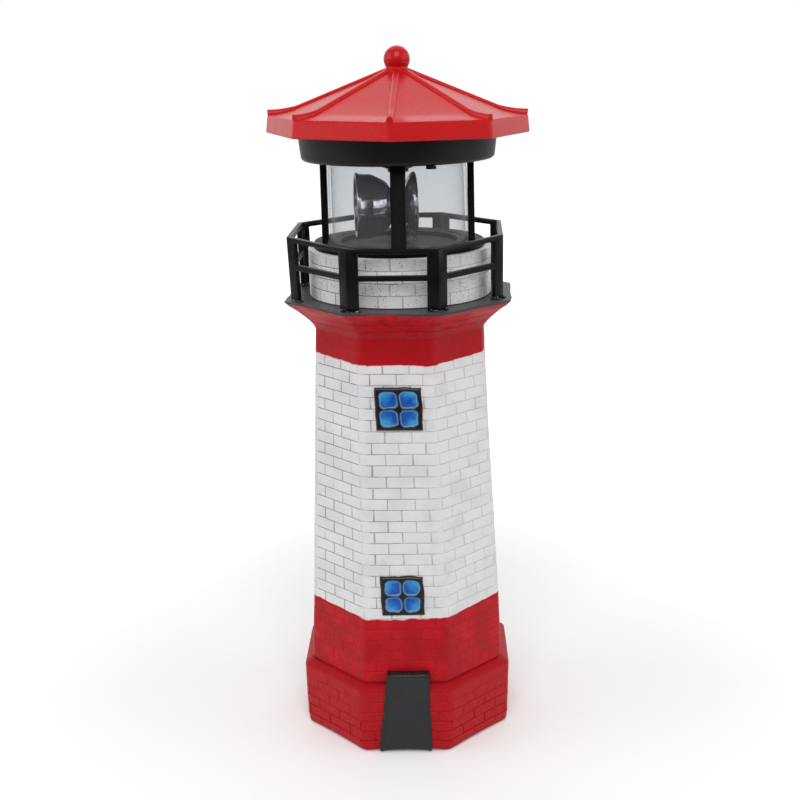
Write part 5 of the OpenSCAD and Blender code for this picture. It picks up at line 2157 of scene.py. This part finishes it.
@dataclass
class Studio:
    """White floor and backdrop, soft lights and the camera."""

    LIGHTS = (
        Softbox("front softbox", (0.0, -0.95, 1.15), 0.8, 9.2),
        Softbox("left softbox", (-1.1, -0.1, 0.7), 0.7, 2.9),
        Softbox("right softbox", (1.1, -0.1, 0.65), 0.7, 2.4),
        Softbox("left strip", (-1.0, -0.6, 0.4), 0.42, 0.9),
        Softbox("right strip", (1.0, -0.6, 0.4), 0.42, 0.9),
        Softbox("rear softbox", (0.0, 0.66, 1.05), 1.1, 2.4),
    )
    AIM = (0.0, 0.0, 0.14)

    distance: float = 0.5038
    height: float = 0.2808
    azimuth: float = 0.7
    pitch: float = 15.77
    roll: float = -1.18
    focal_pixels: float = 1264.0
    frame_pixels: float = 800.0
    aside: float = -0.0011
    ambient: float = 0.42
    floor_white: Colour = (0.86, 0.86, 0.86, 1.0)
    floor_grey: Colour = (0.16, 0.16, 0.17, 1.0)

    @staticmethod
    def sheet(name: str, corners: Sequence[Point]) -> bpy.types.Mesh:
        """Makes the mesh of one flat sheet from its four corners in metres."""
        mesh = bpy.data.meshes.new(name)
        mesh.from_pydata(corners, [], [(0, 1, 2, 3)])
        return mesh

    def floor(self) -> None:
        """Lays the pale floor, white to the camera but for the shadow on it."""
        mesh = self.sheet("floor", [(-30, -30, 0), (30, -30, 0), (30, 30, 0), (-30, 30, 0)])
        paint = Surface("white floor")
        seen = paint.get("ShaderNodeLightPath", None, None, "Is Camera Ray")
        away = paint.get("ShaderNodeVectorMath", {"operation": "LENGTH"}, {0: paint.place})
        before = (paint.split(paint.place)[1] * -1.0).rise(200.0, 600.0)
        pale = paint.mix(before, self.floor_white, self.floor_grey)
        card = paint.get("ShaderNodeBsdfDiffuse", None, {"Color": pale})
        share = away.rise(90.0, 450.0) * 0.55 + 0.12 + before * 0.4
        glow = paint.get("ShaderNodeEmission", None, {"Strength": seen * share})
        both = paint.get("ShaderNodeAddShader", None, {0: card, 1: glow})
        mesh.materials.append(paint.done(both))
        placed("floor", mesh)

    def sky(self) -> None:
        """Sets even light all round, shown as plain white."""
        world = bpy.data.worlds.new("white sky")
        bpy.context.scene.world = world
        world.use_nodes = True
        nodes = Nodes(world.node_tree)
        nodes.tree.nodes.clear()
        path = nodes.add("ShaderNodeLightPath")
        shown = Wire(nodes, path.outputs["Is Camera Ray"]).most(
            Wire(nodes, path.outputs["Is Transmission Ray"])
        )
        strength = shown * (1.0 - self.ambient) + self.ambient
        white = (1.0, 1.0, 1.0, 1.0)
        light = nodes.get("ShaderNodeBackground", None, {"Color": white, "Strength": strength})
        nodes.add("ShaderNodeOutputWorld", None, {"Surface": light})

    def card(self) -> None:
        """Stands a white card behind the object, for its flanks to reflect."""
        corners = [(-5, 2.5, 0), (5, 2.5, 0), (5, 2.5, 2.0), (-5, 2.5, 2.0)]
        mesh = self.sheet("back card", corners)
        paint = Surface("white card")
        path = paint.add("ShaderNodeLightPath")
        shown = Wire(paint, path.outputs["Is Camera Ray"])
        for ray in ("Is Glossy Ray", "Is Transmission Ray"):
            shown = shown.most(Wire(paint, path.outputs[ray]))
        strength = shown * (1.0 - self.ambient) + self.ambient
        glow = paint.get("ShaderNodeEmission", None, {"Strength": strength})
        mesh.materials.append(paint.done(glow))
        placed("back card", mesh)

    def lamp(self, box: Softbox) -> None:
        """Hangs a soft light.

        Args:
            box: Its sizes and place.
        """
        data = bpy.data.lights.new(box.name, "AREA")
        data.size, data.energy = box.side, box.watts
        lamp = placed(box.name, data)
        lamp.location = box.spot
        away = Vector(box.spot) - Vector(self.AIM)
        lamp.rotation_euler = away.to_track_quat("Z", "Y").to_euler()

    def camera(self) -> None:
        """Places the camera at the photograph's angle."""
        data = bpy.data.cameras.new("camera")
        data.sensor_width = 36.0
        data.lens = self.focal_pixels / self.frame_pixels * data.sensor_width
        data.clip_start, data.clip_end = 0.01, 100.0
        camera = placed("camera", data)
        round_it = Matrix.Rotation(math.radians(self.azimuth), 4, "Z")
        place = Matrix.Translation((self.aside, -self.distance, self.height))
        tilt = Matrix.Rotation(math.radians(90 - self.pitch), 4, "X")
        roll = Matrix.Rotation(math.radians(self.roll), 4, "Z")
        camera.matrix_world = round_it @ place @ tilt @ roll
        bpy.context.scene.camera = camera

    def build(self) -> None:
        """Sets up the whole studio."""
        bpy.context.scene.view_settings.view_transform = "Standard"
        self.floor()
        self.sky()
        self.card()
        for box in self.LIGHTS:
            self.lamp(box)
        self.camera()


def main() -> None:
    """Builds the object's pieces in order, then the studio."""
    logging.basicConfig(level=logging.INFO, format="%(name)s: %(message)s")
    noise.seed_set(NOISE_SEED)  # without it the vector noise starts from the clock
    Tower().build()
    Gallery().build()
    Lantern().build()
    Roof().build()
    Lamp().build()
    Works().build()
    Studio().build()


if __name__ == "__main__":
    main()
